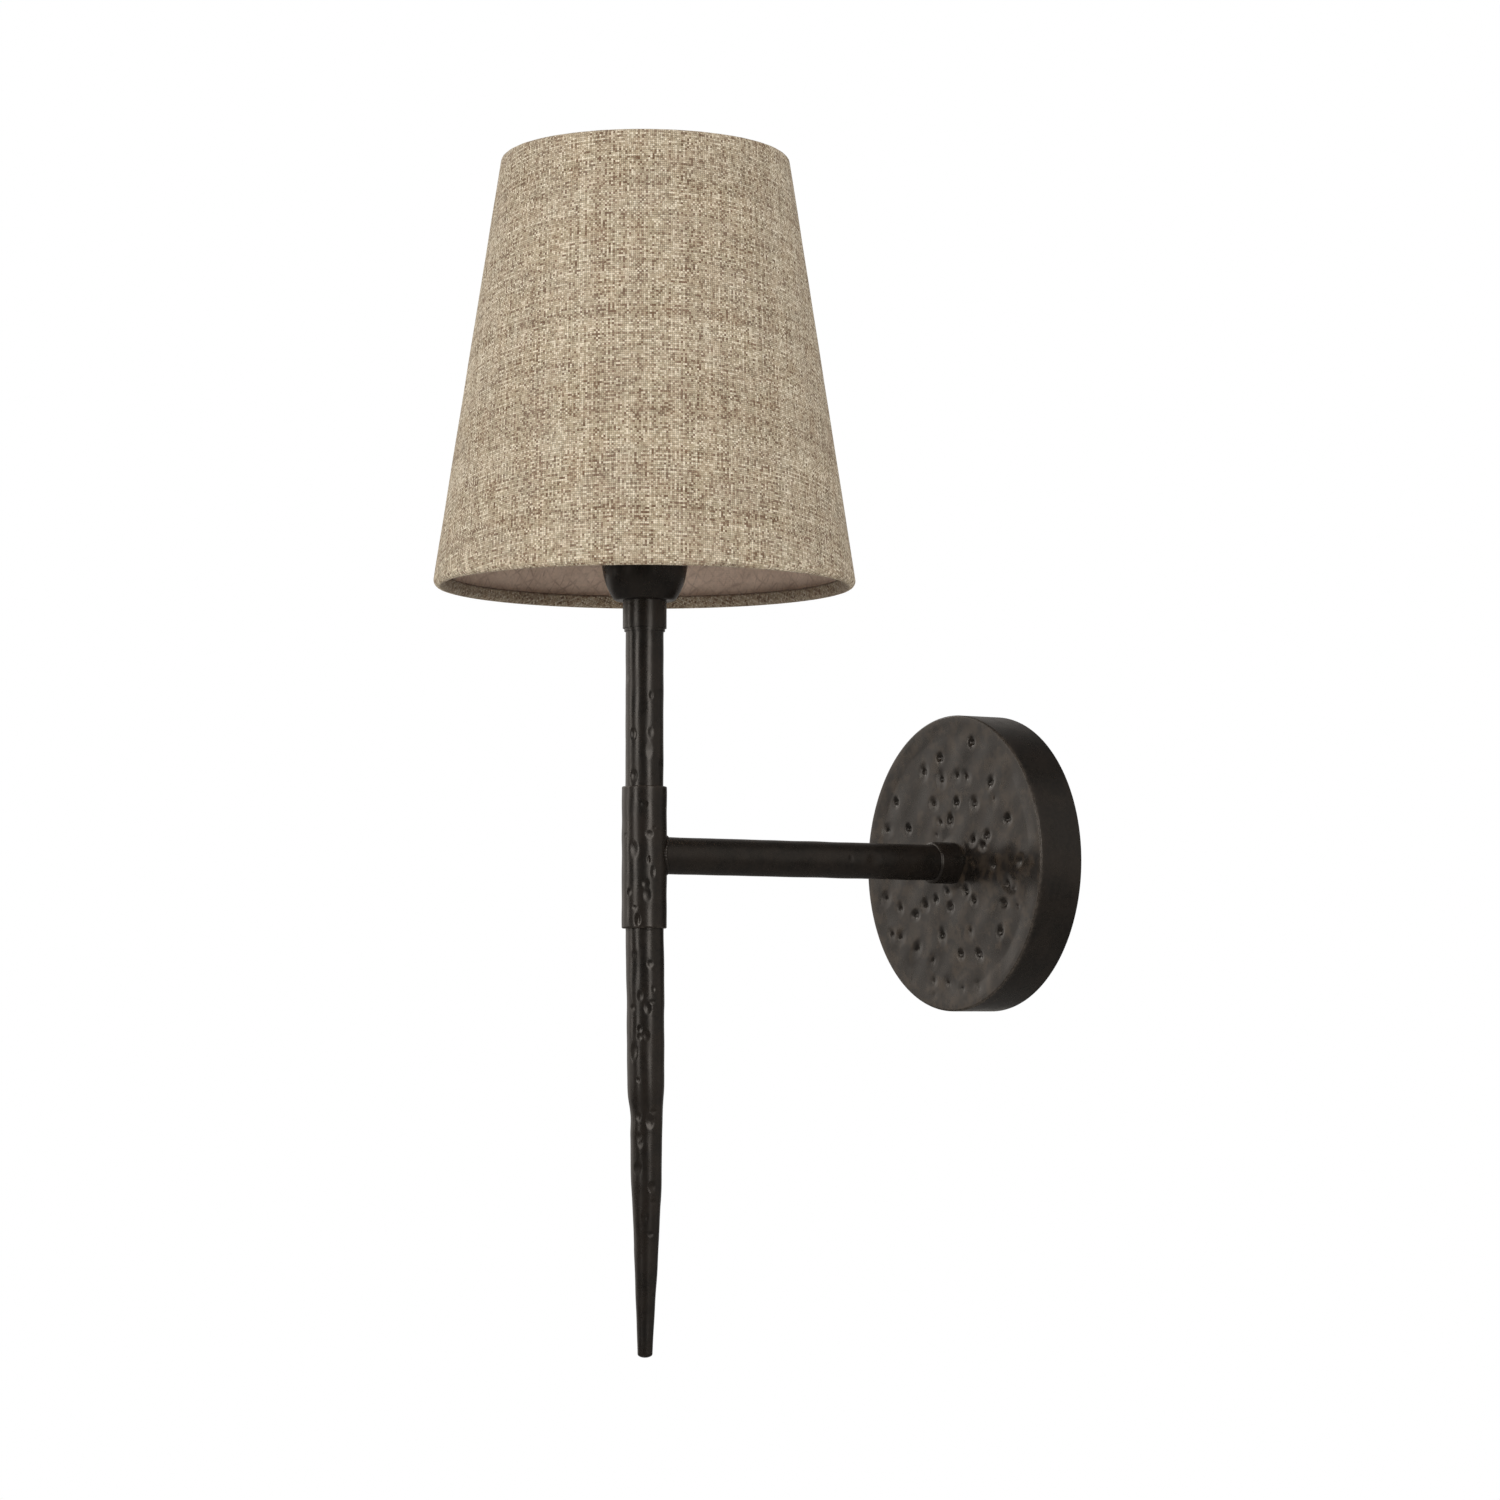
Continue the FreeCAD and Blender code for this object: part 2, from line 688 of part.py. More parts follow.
def make_sleeve():
    """A short tube that clasps the stem and the spike, with a wire hole towards the arm."""
    low, high = "-sleeve_bottom", "sleeve_top"
    body = turned("sleeve", [
        (STEM_BORE, low),
        (f"{SLEEVE_RADIUS} - sleeve_edge", low),
        (SLEEVE_RADIUS, f"{low} + sleeve_edge"),
        (SLEEVE_RADIUS, f"{high} - sleeve_edge"),
        (f"{SLEEVE_RADIUS} - sleeve_edge", high),
        (STEM_BORE, high),
    ])
    hole = circles(body, "sleeve_wire_hole", "XZ_Plane", [("0", "0")], WIREWAY)
    cut(body, hole, f"{SLEEVE_RADIUS} + slip_gap")
    keep(on_stem(body))


def make_stem():
    """The upper tube of the staff, from inside the sleeve to inside the collar."""
    stem_top = "cup_base - collar_floor"
    keep(on_stem(turned("stem", tube_corners(WIREWAY, STEM_RADIUS, "elbow_half", stem_top))))


def make_spike():
    """The solid lower bar: straight, then drawn down in three tapers to a blunt rounded tip."""
    tip = "-(spike_length - spike_tip_height)"
    swell = "(spike_tip_radius^2 + spike_tip_height^2) / (2 * spike_tip_height)"
    keep(on_stem(turned("spike", [
        ("0", "-elbow_half"),
        ("0", "-spike_length", swell, 1),
        ("spike_tip_radius", tip),
        ("spike_taper_radius", "-spike_taper"),
        ("spike_waist_radius", "-spike_waist"),
        ("spike_shoulder_radius", "-spike_shoulder"),
        (STEM_RADIUS, "-(sleeve_bottom + spike_straight)"),
        (STEM_RADIUS, "-elbow_half"),
    ])))


def make_collar_and_cup():
    """The ring on the stem's top, the spun cup on it, and the nipple and nut that clamp them."""
    lip_bottom = "cup_base - collar_length - lip_height"
    keep(on_stem(turned("stem_collar", [
        (STEM_BORE, lip_bottom),
        (LIP_RADIUS, lip_bottom),
        (LIP_RADIUS, "cup_base - collar_length"),
        (COLLAR_RADIUS, "cup_base - collar_length"),
        (COLLAR_RADIUS, "cup_base"),
        (WIREWAY, "cup_base"),
        (WIREWAY, "cup_base - collar_floor"),
        (STEM_BORE, "cup_base - collar_floor"),
    ])))
    rim = "cup_base + cup_height"
    belly = "cup_base + cup_belly_height"
    heel = ("cup_foot_radius + cup_corner_out", "cup_base + cup_corner_rise")
    side = (f"{CAP_RADIUS} + cup_belly_room", belly)
    inner_side = (f"{CAP_RADIUS} + cup_belly_room - cup_wall", belly)
    inner_heel = (f"{heel[0]} - cup_wall", CUP_FLOOR)
    keep(on_stem(turned("cup", [
        ("nipple_radius + slip_gap", "cup_base"),
        ("cup_foot_radius", "cup_base", "cup_corner", 1),
        (*heel, bulge(heel, side, "cup_bulge"), 1),
        side,
        (f"{CAP_RADIUS} + cup_rim_room", rim),
        (f"{CAP_RADIUS} + cup_rim_room - cup_wall", rim),
        (*inner_side, bulge(inner_side, inner_heel, "cup_bulge"), -1),
        inner_heel,
        ("nipple_radius + slip_gap", CUP_FLOOR),
    ])))
    top = f"{CAP_BASE} + cap_floor + stem_nipple_tail"
    keep(on_stem(turned("stem_nipple", tube_corners(NIPPLE_BORE, "nipple_radius",
                                                    "cup_base - nipple_engagement", top))))
    keep(on_stem(hex_nut("cup_nut", False, CUP_FLOOR)))


# ---- lampholder ----

def make_lampholder():
    """The cap, the threaded body with its shoulder, the core, the screw shell and the centre contact."""
    keep(on_stem(turned("lampholder_cap", [
        (WIREWAY, CAP_BASE),
        (f"{CAP_RADIUS} - cap_edge", CAP_BASE),
        (CAP_RADIUS, f"{CAP_BASE} + cap_edge"),
        (CAP_RADIUS, CAP_TOP),
        (CAP_INNER, CAP_TOP),
        (CAP_INNER, f"{CAP_BASE} + cap_floor"),
        (WIREWAY, f"{CAP_BASE} + cap_floor"),
    ])))
    body_radius, flange_radius = f"{CAP_RADIUS} + body_step", f"{SKIRT_RADIUS} + flange_width"
    keep(on_stem(turned("lampholder_body", [
        (f"{SPIGOT} - spigot_wall", CORE_BASE),
        (SPIGOT, CORE_BASE),
        (SPIGOT, CAP_TOP),
        (body_radius, CAP_TOP),
        (body_radius, f"{FLANGE_TOP} - flange_height"),
        (flange_radius, f"{FLANGE_TOP} - flange_height"),
        (flange_radius, FLANGE_TOP),
        (SKIRT_RADIUS, FLANGE_TOP),
        (SKIRT_RADIUS, f"{FLANGE_TOP} + skirt_height"),
        (SHELL_SEAT, f"{FLANGE_TOP} + skirt_height"),
        (SHELL_SEAT, CORE_TOP),
        (f"{SPIGOT} - spigot_wall", CORE_TOP),
    ])))
    core = turned("lampholder_core", tube_corners("contact_radius + slip_gap", CORE_RADIUS,
                                                  CORE_BASE, CORE_TOP))
    lead_holes = circles(core, "core_lead_holes", "XY_Plane",
                         [("-terminal_offset", "0"), ("terminal_offset", "0")], TERMINAL_BORE, CORE_BASE)
    cut(core, lead_holes, "core_height - core_roof", reverse=True)
    screw_height = f"{CORE_BASE} + terminal_screw_rise"
    screw_hole = circles(core, "core_screw_hole", "YZ_Plane", [("0", screw_height)],
                         "terminal_screw_radius + thread_gap", "terminal_offset")
    mirror(core, [cut(core, screw_hole, CORE_RADIUS, reverse=True)], "YZ_Plane")
    keep(on_stem(core))
    screws = []
    for side in (1, -1):
        start = "terminal_offset + lead_radius + seat_gap"
        screw = turned(f"lampholder_screw_{'right' if side > 0 else 'left'}",
                       tube_corners("0", "terminal_screw_radius", start, f"{start} + terminal_screw_length"))
        screw.Placement.Rotation = Rotation(Vector(0, 1, 0), 90 * side)
        bind(screw, "Placement.Base.z", screw_height)
        screws.append(on_stem(screw))
    group("lampholder_screws", screws)
    keep(on_stem(turned("screw_shell", tube_corners(SHELL_INNER, SHELL_OUTER, CORE_TOP,
                                                    f"{CORE_TOP} + shell_height"))))
    keep(on_stem(turned("centre_contact", [
        ("0", f"{CORE_TOP} - contact_tail"),
        ("contact_radius", f"{CORE_TOP} - contact_tail"),
        ("contact_radius", CORE_TOP),
        ("contact_head", CORE_TOP),
        ("contact_head", f"{CORE_TOP} + contact_head_height"),
        ("contact_radius", f"{CORE_TOP} + contact_height"),
        ("0", f"{CORE_TOP} + contact_height"),
    ])))
    nut_top = f"{RING_NUT} + ring_nut_height"
    nut_bore = f"{SKIRT_RADIUS} + thread_gap"
    keep(on_stem(turned("shade_ring_nut", [
        (nut_bore, RING_NUT),
        (RING_NUT_RADIUS, RING_NUT),
        (RING_NUT_RADIUS, f"{nut_top} - ring_nut_edge", "ring_nut_edge", 1),
        (f"{RING_NUT_RADIUS} - ring_nut_edge", nut_top),
        (nut_bore, nut_top),
    ])))


# ---- lamp ----

def make_lamp():
    """A candle lamp: its contact, insulator and screw cap, then the glass with what stands in it."""
    cap_inner = "lamp_cap_radius - lamp_cap_wall"
    plug = f"{cap_inner} - slip_gap"
    cone_base = f"{LAMP_BASE} + lamp_tip_height"
    keep(on_stem(turned("bulb_contact", tube_corners("0", "lamp_tip_radius", LAMP_BASE, cone_base))))
    keep(on_stem(turned("bulb_insulator", [
        ("0", cone_base),
        ("lamp_cone_radius", cone_base),
        (plug, LAMP_CAP),
        (plug, f"{LAMP_CAP} + lamp_plug"),
        ("0", f"{LAMP_CAP} + lamp_plug"),
    ])))
    cap_top = f"{LAMP_CAP} + lamp_cap_height"
    keep(on_stem(turned("bulb_cap", tube_corners(cap_inner, "lamp_cap_radius", LAMP_CAP, cap_top))))
    foot = f"{cap_top} - glass_seat"
    make_glass(plug, foot, f"{cap_top} + glass_collar")
    mount_top = f"{LAMP_BASE} + mount_top"
    mount_radius = f"{plug} - glass_wall - weld_gap"
    keep(on_stem(turned("bulb_stem", [
        ("0", foot),
        (mount_radius, foot),
        (mount_radius, f"{foot} + mount_foot"),
        ("mount_neck_radius", f"{foot} + mount_cone"),
        ("mount_neck_radius", f"{mount_top} - mount_disc_height"),
        ("mount_disc_radius", f"{mount_top} - mount_disc_height"),
        ("mount_disc_radius", mount_top),
        ("0", mount_top),
    ])))
    rods = []
    for index in range(FILAMENTS):
        angle = (index + 0.5) * 360 / FILAMENTS
        rod = document.addObject("Part::Cylinder", f"filament_{index + 1}")
        bind(rod, "Radius", "filament_radius")
        bind(rod, "Height", "filament_length")
        bind(rod, "Placement.Base.x", f"filament_offset * cos({angle})")
        bind(rod, "Placement.Base.y", f"{STEM_Y} + filament_offset * sin({angle})")
        bind(rod, "Placement.Base.z", f"{mount_top} + seat_gap")
        rods.append(rod)
    group("bulb_filaments", rods)


def make_glass(plug, foot, collar):
    """The thin candle-shaped envelope: a neck in the cap, a flare, a belly and a drawn peak."""
    wall = "glass_wall"
    neck, flare = "(lamp_cap_radius + glass_neck_step)", f"{collar} + glass_flare"
    profile = [
        (neck, flare),
        ("glass_radius - glass_shoulder_inset", f"{LAMP_BASE} + glass_shoulder"),
        ("glass_radius", f"{LAMP_BASE} + glass_belly"),
        ("glass_radius - glass_upper_inset", f"{LAMP_BASE} + glass_upper"),
        ("glass_tip_radius", f"{LAMP_BASE} + lamp_length - glass_tip_radius"),
    ]
    rises = ["glass_flare_bulge", "glass_belly_bulge", "glass_crown_bulge", "glass_peak_bulge"]
    sides = [-1, 1, 1, 1]
    within = [(f"{radius} - {wall}", height) for radius, height in profile]
    tip_height = profile[-1][1]
    corners = [(f"{plug} - {wall}", foot), (plug, foot), (plug, collar), (neck, collar)]
    for start, end, rise, side in zip(profile, profile[1:], rises, sides):
        corners.append((*start, bulge(start, end, rise), side))
    corners.append((*profile[-1], "glass_tip_radius", 1))
    corners.append(("0", f"{tip_height} + glass_tip_radius"))
    corners.append(("0", f"{tip_height} + glass_tip_radius - {wall}", f"glass_tip_radius - {wall}", -1))
    for start, end, rise, side in zip(within[:0:-1], within[-2::-1], rises[::-1], sides[::-1]):
        corners.append((*start, bulge(start, end, rise), -side))
    corners.append(within[0])
    corners.append((f"{neck} - {wall}", f"{collar} + {wall}"))
    corners.append((f"{plug} - {wall}", collar))
    keep(on_stem(turned("bulb_glass", corners)))


# ---- shade ----

def slanted(along, across):
    """A place on the shade's section: along its slope from the bottom edge, and outward from its face."""
    radius = f"shade_bottom_radius - ({along}) * sin({SLANT}) + ({across}) * cos({SLANT})"
    height = f"{SHADE_BASE} + ({along}) * cos({SLANT}) + ({across}) * sin({SLANT})"
    return radius, height


def make_shade_fabric():
    """One layer of linen, rolled round both wires and turned in, with a notch inside for each spoke."""
    low, high = ROLL, f"({SLANT_LENGTH} - {ROLL})"
    bend = "wire_radius + wrap_gap"
    back = f"-2 * {ROLL}"
    body = turned("shade_fabric", [
        slanted(low, "0"),
        (*slanted(high, "0"), ROLL, 1),
        (*slanted(f"{high} + {ROLL}", f"-{ROLL}"), ROLL, 1),
        slanted(high, back),
        slanted(f"{high} - hem", back),
        slanted(f"{high} - hem", f"{back} + linen"),
        (*slanted(high, f"{back} + linen"), bend, -1),
        (*slanted(f"{high} + {bend}", f"-{ROLL}"), bend, -1),
        slanted(high, "-linen"),
        (*slanted(low, "-linen"), bend, -1),
        (*slanted(f"{low} - ({bend})", f"-{ROLL}"), bend, -1),
        slanted(low, f"{back} + linen"),
        slanted(f"{low} + hem", f"{back} + linen"),
        slanted(f"{low} + hem", back),
        (*slanted(low, back), ROLL, 1),
        (*slanted("0", f"-{ROLL}"), ROLL, 1),
    ])
    ring_radius, ring_height = slanted(high, f"-{ROLL}")
    notch = circles(body, "spoke_notch", "XZ_Plane", [("0", ring_height)], "spoke_radius + turn_gap")
    around(body, cut(body, notch, ring_radius), SPOKES)
    keep(on_stem(body))


def make_shade_lining():
    """The stiff backing, glued inside the linen between the two wires."""
    low = f"({ROLL} + wire_radius + turn_gap)"
    high = f"({SLANT_LENGTH} - {low})"
    face, back = "-(linen + seat_gap)", "-(linen + seat_gap + lining)"
    corners = [slanted(low, back), slanted(low, face), slanted(high, face), slanted(high, back)]
    keep(on_stem(turned("shade_lining", corners)))


def make_shade_wires():
    """The two wire rings, the three spokes that drop from the upper one, and the flat centre ring."""
    for label, along in (("shade_bottom_ring", ROLL), ("shade_top_ring", f"{SLANT_LENGTH} - {ROLL}")):
        radius, height = slanted(along, f"-{ROLL}")
        ring = document.addObject("Part::Torus", label)
        bind(ring, "Radius1", radius)
        bind(ring, "Radius2", "wire_radius")
        bind(ring, "Placement.Base.z", height)
        keep(on_stem(ring), label)
    start = f"{radius} - wire_radius - weld_gap"
    foot = f"{CENTRE_RING_TOP} + spoke_radius + weld_gap"
    points = [
        (start, height),
        (f"{start} - spoke_shelf", height),
        (f"{SPOKE_TOE} + spoke_toe", foot),
        (SPOKE_TOE, foot),
    ]
    for index in range(SPOKES):
        name = f"shade_spoke_{index + 1}"
        body = new_body(name)
        path = bent_path(body, name + "_path", points, "spoke_bend")
        section = circles(body, name + "_section", "YZ_Plane", [("0", height)], "spoke_radius", start)
        pipe = body.newObject("PartDesign::AdditivePipe", name + "_pipe")
        pipe.Profile = section
        pipe.Spine = path
        body.Placement.Rotation = Rotation(Vector(0, 0, 1), 90 + index * 360 / SPOKES)
        keep(on_stem(body))
    keep(on_stem(turned("shade_centre_ring", tube_corners(f"{SKIRT_RADIUS} + turn_gap", CENTRE_RING_RADIUS,
                                                          CENTRE_RING, CENTRE_RING_TOP))))


# ---- leads ----

def rounded_wire(corners):
    """Straight runs joined by tangent arcs, from (point, bend radius) pairs; the ends need no radius."""
    places = [point for point, _ in corners]
    edges, start = [], places[0]
    for before, (corner, bend), after in zip(places, corners[1:-1], places[2:]):
        come, go = (corner - before).normalize(), (after - corner).normalize()
        turn = come.getAngle(go)
        setback = bend * math.tan(turn / 2)
        first, last = corner - come * setback, corner + go * setback
        towards_centre = (go - come).normalize()
        centre_distance = (bend * bend + setback * setback) ** 0.5
        middle = corner + towards_centre * (centre_distance - bend)
        edges.append(Part.LineSegment(start, first).toShape())
        edges.append(Part.Arc(first, middle, last).toShape())
        start = last
    edges.append(Part.LineSegment(start, places[-1]).toShape())
    return Part.Wire(edges)


def make_lead(label, corners):
    """One insulated lead along its route. Its volume must be its section times its length."""
    path = rounded_wire(corners)
    radius = value("lead_radius")
    start = corners[0][0]
    direction = corners[1][0] - start
    ring = Part.Wire(Part.makeCircle(radius, start, direction))
    lead = path.makePipeShell([ring], True, False)
    expected = Part.makeCircle(radius).Length * radius / 2 * path.Length
    if abs(lead.Volume - expected) > expected / 100:
        raise ValueError(f"{label} is not whole")
    feature = document.addObject("Part::Feature", label)
    feature.Shape = lead
    print(label, "bends", [bend for _, bend in corners[1:-1]], "length", round(path.Length, 1))
    keep(feature, label)


def make_leads():
    """Live and neutral run from the block through the arm and the stem; earth goes to its screw."""
    block_top = -value("block_drop")
    pole_y = -value("bracket_wall + block_depth / 2")
    stem_y = value(STEM_Y)
    entry, rise, bend = value("lead_entry"), value("lead_rise"), value("lead_rise - lead_step")
    spread = value(f"{CAP_BASE} + cap_floor + lead_spread")
    core, tail = value(CORE_BASE), value("lead_tail")
    for label, side in (("live_lead", -1), ("neutral_lead", 1)):
        pole = side * value("pole_pitch")
        inner, outer = side * value(LEAD_OFFSET), side * value("terminal_offset")
        make_lead(label, [
            (Vector(pole, pole_y, block_top - entry), 0),
            (Vector(pole, pole_y, block_top + rise), bend),
            (Vector(inner, pole_y + value("lead_step"), 0), value(f"{LEAD_OFFSET} * 2")),
            (Vector(inner, stem_y, 0), value("elbow_bend")),
            (Vector(inner, stem_y, spread), rise),
            (Vector(outer, stem_y, core - tail), bend),
            (Vector(outer, stem_y, core + tail), 0),
        ])
    under_head = -value("bracket_wall + lead_radius + seat_gap / 2")
    earth_end = value("earth_height - earth_radius - slip_gap")
    make_lead("earth_lead", [
        (Vector(0, pole_y, block_top - entry), 0),
        (Vector(0, pole_y, block_top + rise), rise),
        (Vector(0, under_head, block_top + 3 * rise), 2 * rise),
        (Vector(0, under_head, earth_end), 0),
    ])


def check_document():
    """Stop if any object failed, any pocket cut nothing or any piece has no valid shape."""
    for thing in document.Objects:
        if "Invalid" in thing.State or "Error" in thing.State:
            raise ValueError(f"{thing.Name}: {thing.State}")
        if thing.TypeId == "Sketcher::SketchObject" and thing.solve() != 0:
            raise ValueError(f"{thing.Name} has no solution")
        if thing.TypeId == "PartDesign::Pocket":
            if thing.Shape.Volume > thing.BaseFeature.Shape.Volume - 0.01:
                raise ValueError(f"{thing.Name} cuts nothing")
    for thing in nodes:
        if thing.Shape.isNull() or not thing.Shape.isValid() or not thing.Shape.Solids:
            raise ValueError(f"{thing.Label} has no valid solid")


def write_parts():
    os.makedirs("parts", exist_ok=True)
    for thing in nodes:
        thing.Shape.exportStep(f"parts/{thing.Label}.step")
        box = thing.Shape.BoundBox
        print(f"{thing.Label}: {len(thing.Shape.Solids)} solid, {thing.Shape.Volume:.1f} mm3, "
              f"z {box.ZMin:.2f} to {box.ZMax:.2f}")


fill_sheet()
make_backplate()
make_wall_bracket()
make_plate_screws()
make_terminal_block()
make_earth_screw()
make_arm()
make_arm_fixings()
make_sleeve()
make_stem()
make_spike()
make_collar_and_cup()
make_lampholder()
make_lamp()
make_shade_fabric()
make_shade_lining()
make_shade_wires()
document.recompute()
make_leads()
document.recompute()
check_document()
write_parts()
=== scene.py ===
import math

import bpy
import numpy as np
from mathutils import Euler, Matrix, Vector


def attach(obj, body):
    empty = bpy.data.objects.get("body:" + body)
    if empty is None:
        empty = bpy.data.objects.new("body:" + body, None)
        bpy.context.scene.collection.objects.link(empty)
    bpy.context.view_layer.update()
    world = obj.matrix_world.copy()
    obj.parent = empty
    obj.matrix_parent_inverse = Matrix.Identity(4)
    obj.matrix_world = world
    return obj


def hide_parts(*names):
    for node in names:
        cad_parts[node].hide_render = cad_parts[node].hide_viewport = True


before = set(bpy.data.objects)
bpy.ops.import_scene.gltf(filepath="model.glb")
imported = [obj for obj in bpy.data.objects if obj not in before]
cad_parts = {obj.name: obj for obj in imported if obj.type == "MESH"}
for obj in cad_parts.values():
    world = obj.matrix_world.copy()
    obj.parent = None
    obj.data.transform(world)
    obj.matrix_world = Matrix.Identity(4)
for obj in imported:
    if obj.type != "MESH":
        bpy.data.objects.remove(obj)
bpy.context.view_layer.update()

# The looks of a torch sconce: pitted and hammered black iron, and a linen shade.
# Shapes are worked out in millimetres and scaled to metres when a mesh is made. The wall is the
# plane y = 0, the sconce stands out towards -Y, z is up, and x = z = 0 is the arm's axis.
# Angles on the staff are counted round its axis from +X, and angles on the plate and the arm
# round theirs, from +X towards +Z.

MM = 0.001
TURN = 2 * math.pi

# ---- sizes shared with the construction model ----

PLATE_RADIUS = 60.0
PLATE_DEPTH = 20.0
PLATE_WALL = 1.5
PLATE_EDGE = 0.8
PLATE_BORE = 5.1
SCREW_DEPTH = 8.0
SCREW_HOLE = 2.1
ARM_RADIUS = 7.2
BAR_BORE = 5.05
SADDLE_RADIUS = 8.72
STAFF_REACH = 166.0
SLEEVE_RADIUS = 8.7
SLEEVE_BORE = 7.45
SLEEVE_TOP = 26.5
SLEEVE_BOTTOM = -28.3
SLEEVE_EDGE = 0.5
STEM_RADIUS = 7.35
STEM_BOTTOM = 7.0
STEM_TOP = 95.5
SHADE_FOOT = 104.0
SHADE_FOOT_RADIUS = 82.0
SHADE_SLANT = math.atan2(26.0, 168.0)
SHADE_SLOPE = math.hypot(26.0, 168.0)
CLOTH = 0.7
HEM_ROLL = 2.35
HEM_BAND = 2.9

# ---- marks left by the hammer, the punch and rubbing ----

# How far from an edge its rubbed look fades.
WEAR_FADE = 0.5

# Pits in the plate's face: x, z and how strong the mark is, from 1 to 3.
PLATE_PITS = (
    (13.4, 48.3, 3), (-8.5, 43.1, 3), (-19.9, 37.9, 3), (3.2, 35.3, 2), (9.5, 34.6, 2),
    (-7.5, 34.3, 3), (26.0, 31.4, 3), (28.8, 24.6, 1), (-39.6, 26.5, 3), (-13.0, 24.7, 3),
    (3.1, 24.6, 3), (15.1, 23.6, 3), (-1.4, 17.6, 3), (-8.2, 16.9, 2), (37.6, 16.3, 3),
    (-30.5, 15.1, 3), (-46.0, 15.0, 2), (-11.0, 11.6, 1), (14.1, 8.6, 2), (23.4, 10.2, 3),
    (20.8, 6.4, 2), (28.0, -1.7, 2), (45.7, -0.4, 2), (37.1, -9.1, 2), (41.0, -11.9, 1),
    (-3.6, -11.5, 2), (9.3, -11.8, 3), (-46.8, -13.2, 2), (-11.8, -14.5, 2), (-18.8, -16.7, 3),
    (-36.9, -17.5, 2), (-1.6, -17.9, 3), (14.6, -15.5, 2), (34.9, -17.2, 2), (44.0, -18.6, 1),
    (-26.0, -20.5, 3), (-42.6, -28.3, 2), (-36.7, -29.6, 2), (-7.1, -29.3, 3), (32.4, -28.5, 3),
    (12.5, -28.1, 1), (-25.1, -34.3, 2), (5.7, -37.1, 3), (18.1, -37.3, 3), (-13.8, -39.6, 1),
    (-13.1, -48.0, 1), (-3.1, -48.9, 1), (7.0, -51.0, 1), (17.7, -51.0, 1), (-12.7, -53.6, 1),
    (-28.6, -47.5, 1),
)

# Dents in a bar: degrees round it, place along it, half width, half height and depth.
SLEEVE_DENTS = (
    (-33, 19.4, 1.4, 1.2, 0.35), (-18, 7.7, 1.5, 1.4, 0.30), (-4, 10.2, 0.7, 0.7, 0.15),
    (6, 9.4, 0.7, 0.7, 0.15), (-59, 2.0, 1.9, 3.1, 0.30), (-20, -2.0, 0.6, 1.5, 0.25),
    (-8, -6.7, 1.0, 2.3, 0.30), (-28, -11.2, 1.5, 1.9, 0.40), (-24, -15.5, 1.6, 2.5, 0.35),
    (-73, -14.4, 1.2, 1.4, 0.30), (-48, -25.0, 1.2, 2.3, 0.50), (-88, 7.5, 1.1, 0.9, 0.20),
    (-57, -20.4, 1.1, 0.8, 0.15),
)
STEM_DENTS = (
    (-11, 61.4, 0.9, 1.5, 0.30), (-68, 46.5, 1.3, 2.1, 0.40), (-12, 47.1, 1.3, 2.1, 0.25),
    (-65, 30.3, 1.5, 2.3, 0.40), (-101, 68.5, 2.4, 2.1, 0.15), (-16, 40.1, 1.6, 2.8, 0.15),
    (25, 62.8, 1.5, 1.4, 0.15), (32, 34.7, 2.0, 2.3, 0.20),
)
SPIKE_DENTS = (
    (-65, -38.4, 1.0, 1.6, 0.20), (-16, -41.9, 1.3, 1.4, 0.30), (-48, -54.2, 1.2, 1.9, 0.40),
    (-6, -51.6, 0.8, 1.3, 0.25), (-25, -58.8, 1.5, 2.4, 0.45), (-10, -56.6, 1.5, 0.9, 0.20),
    (-74, -58.8, 1.2, 1.3, 0.20), (-50, -66.9, 1.0, 1.4, 0.30), (-50, -69.8, 1.0, 1.4, 0.30),
    (-29, -69.5, 1.3, 1.9, 0.30), (-71, -75.4, 1.7, 3.3, 0.40), (-56, -86.4, 0.7, 0.8, 0.20),
    (-118, -100.0, 5.5, 6.0, 0.45), (-60, -100.3, 1.2, 1.7, 0.30), (-5, -98.5, 1.4, 0.9, 0.25),
    (-17, -102.2, 1.7, 2.7, 0.40), (-59, -108.6, 1.5, 2.2, 0.20), (-52, -110.4, 1.5, 2.0, 0.20),
    (-67, -120.1, 1.8, 2.3, 0.35), (-7, -127.2, 1.7, 2.0, 0.40), (-1, -133.0, 1.2, 1.1, 0.20),
    (-39, -138.8, 1.2, 1.8, 0.35), (-10, -145.2, 1.2, 1.0, 0.25), (24, -168.7, 1.2, 0.8, 0.20),
)
ARM_DENTS = (
    (5.6, 74.1, 1.8, 1.2, 0.25), (2.6, 63.1, 2.7, 3.5, 0.25), (8.5, 125.4, 1.8, 2.5, 0.12),
    (7.9, 101.8, 1.8, 2.5, 0.12),
)


# ---- meshes from grids of points ----

def runs(corners, step):
    """Points on the straight runs between corners, evenly spaced and at most a step apart."""
    parts = []
    for start, end in zip(corners, corners[1:]):
        count = max(1, math.ceil(math.dist(start, end) / step))
        share = np.arange(count + 1)[:, None] / count
        parts.append(np.array(start, float) + share * np.subtract(end, start))
    return np.concatenate(parts)


def arc(centre, radius, start, end, steps):
    """Points on an arc about the centre, from one angle in degrees to another."""
    angle = np.radians(np.linspace(start, end, steps + 1))
    return np.stack([centre[0] + radius * np.cos(angle), centre[1] + radius * np.sin(angle)], 1)


def outline(*parts):
    """The parts of a section joined end to end, with each shared corner kept once."""
    points = np.concatenate([np.asarray(part, float).reshape(-1, 2) for part in parts])
    apart = np.linalg.norm(np.diff(points, axis=0), axis=1) > 1e-4
    return points[np.concatenate([[True], apart])]


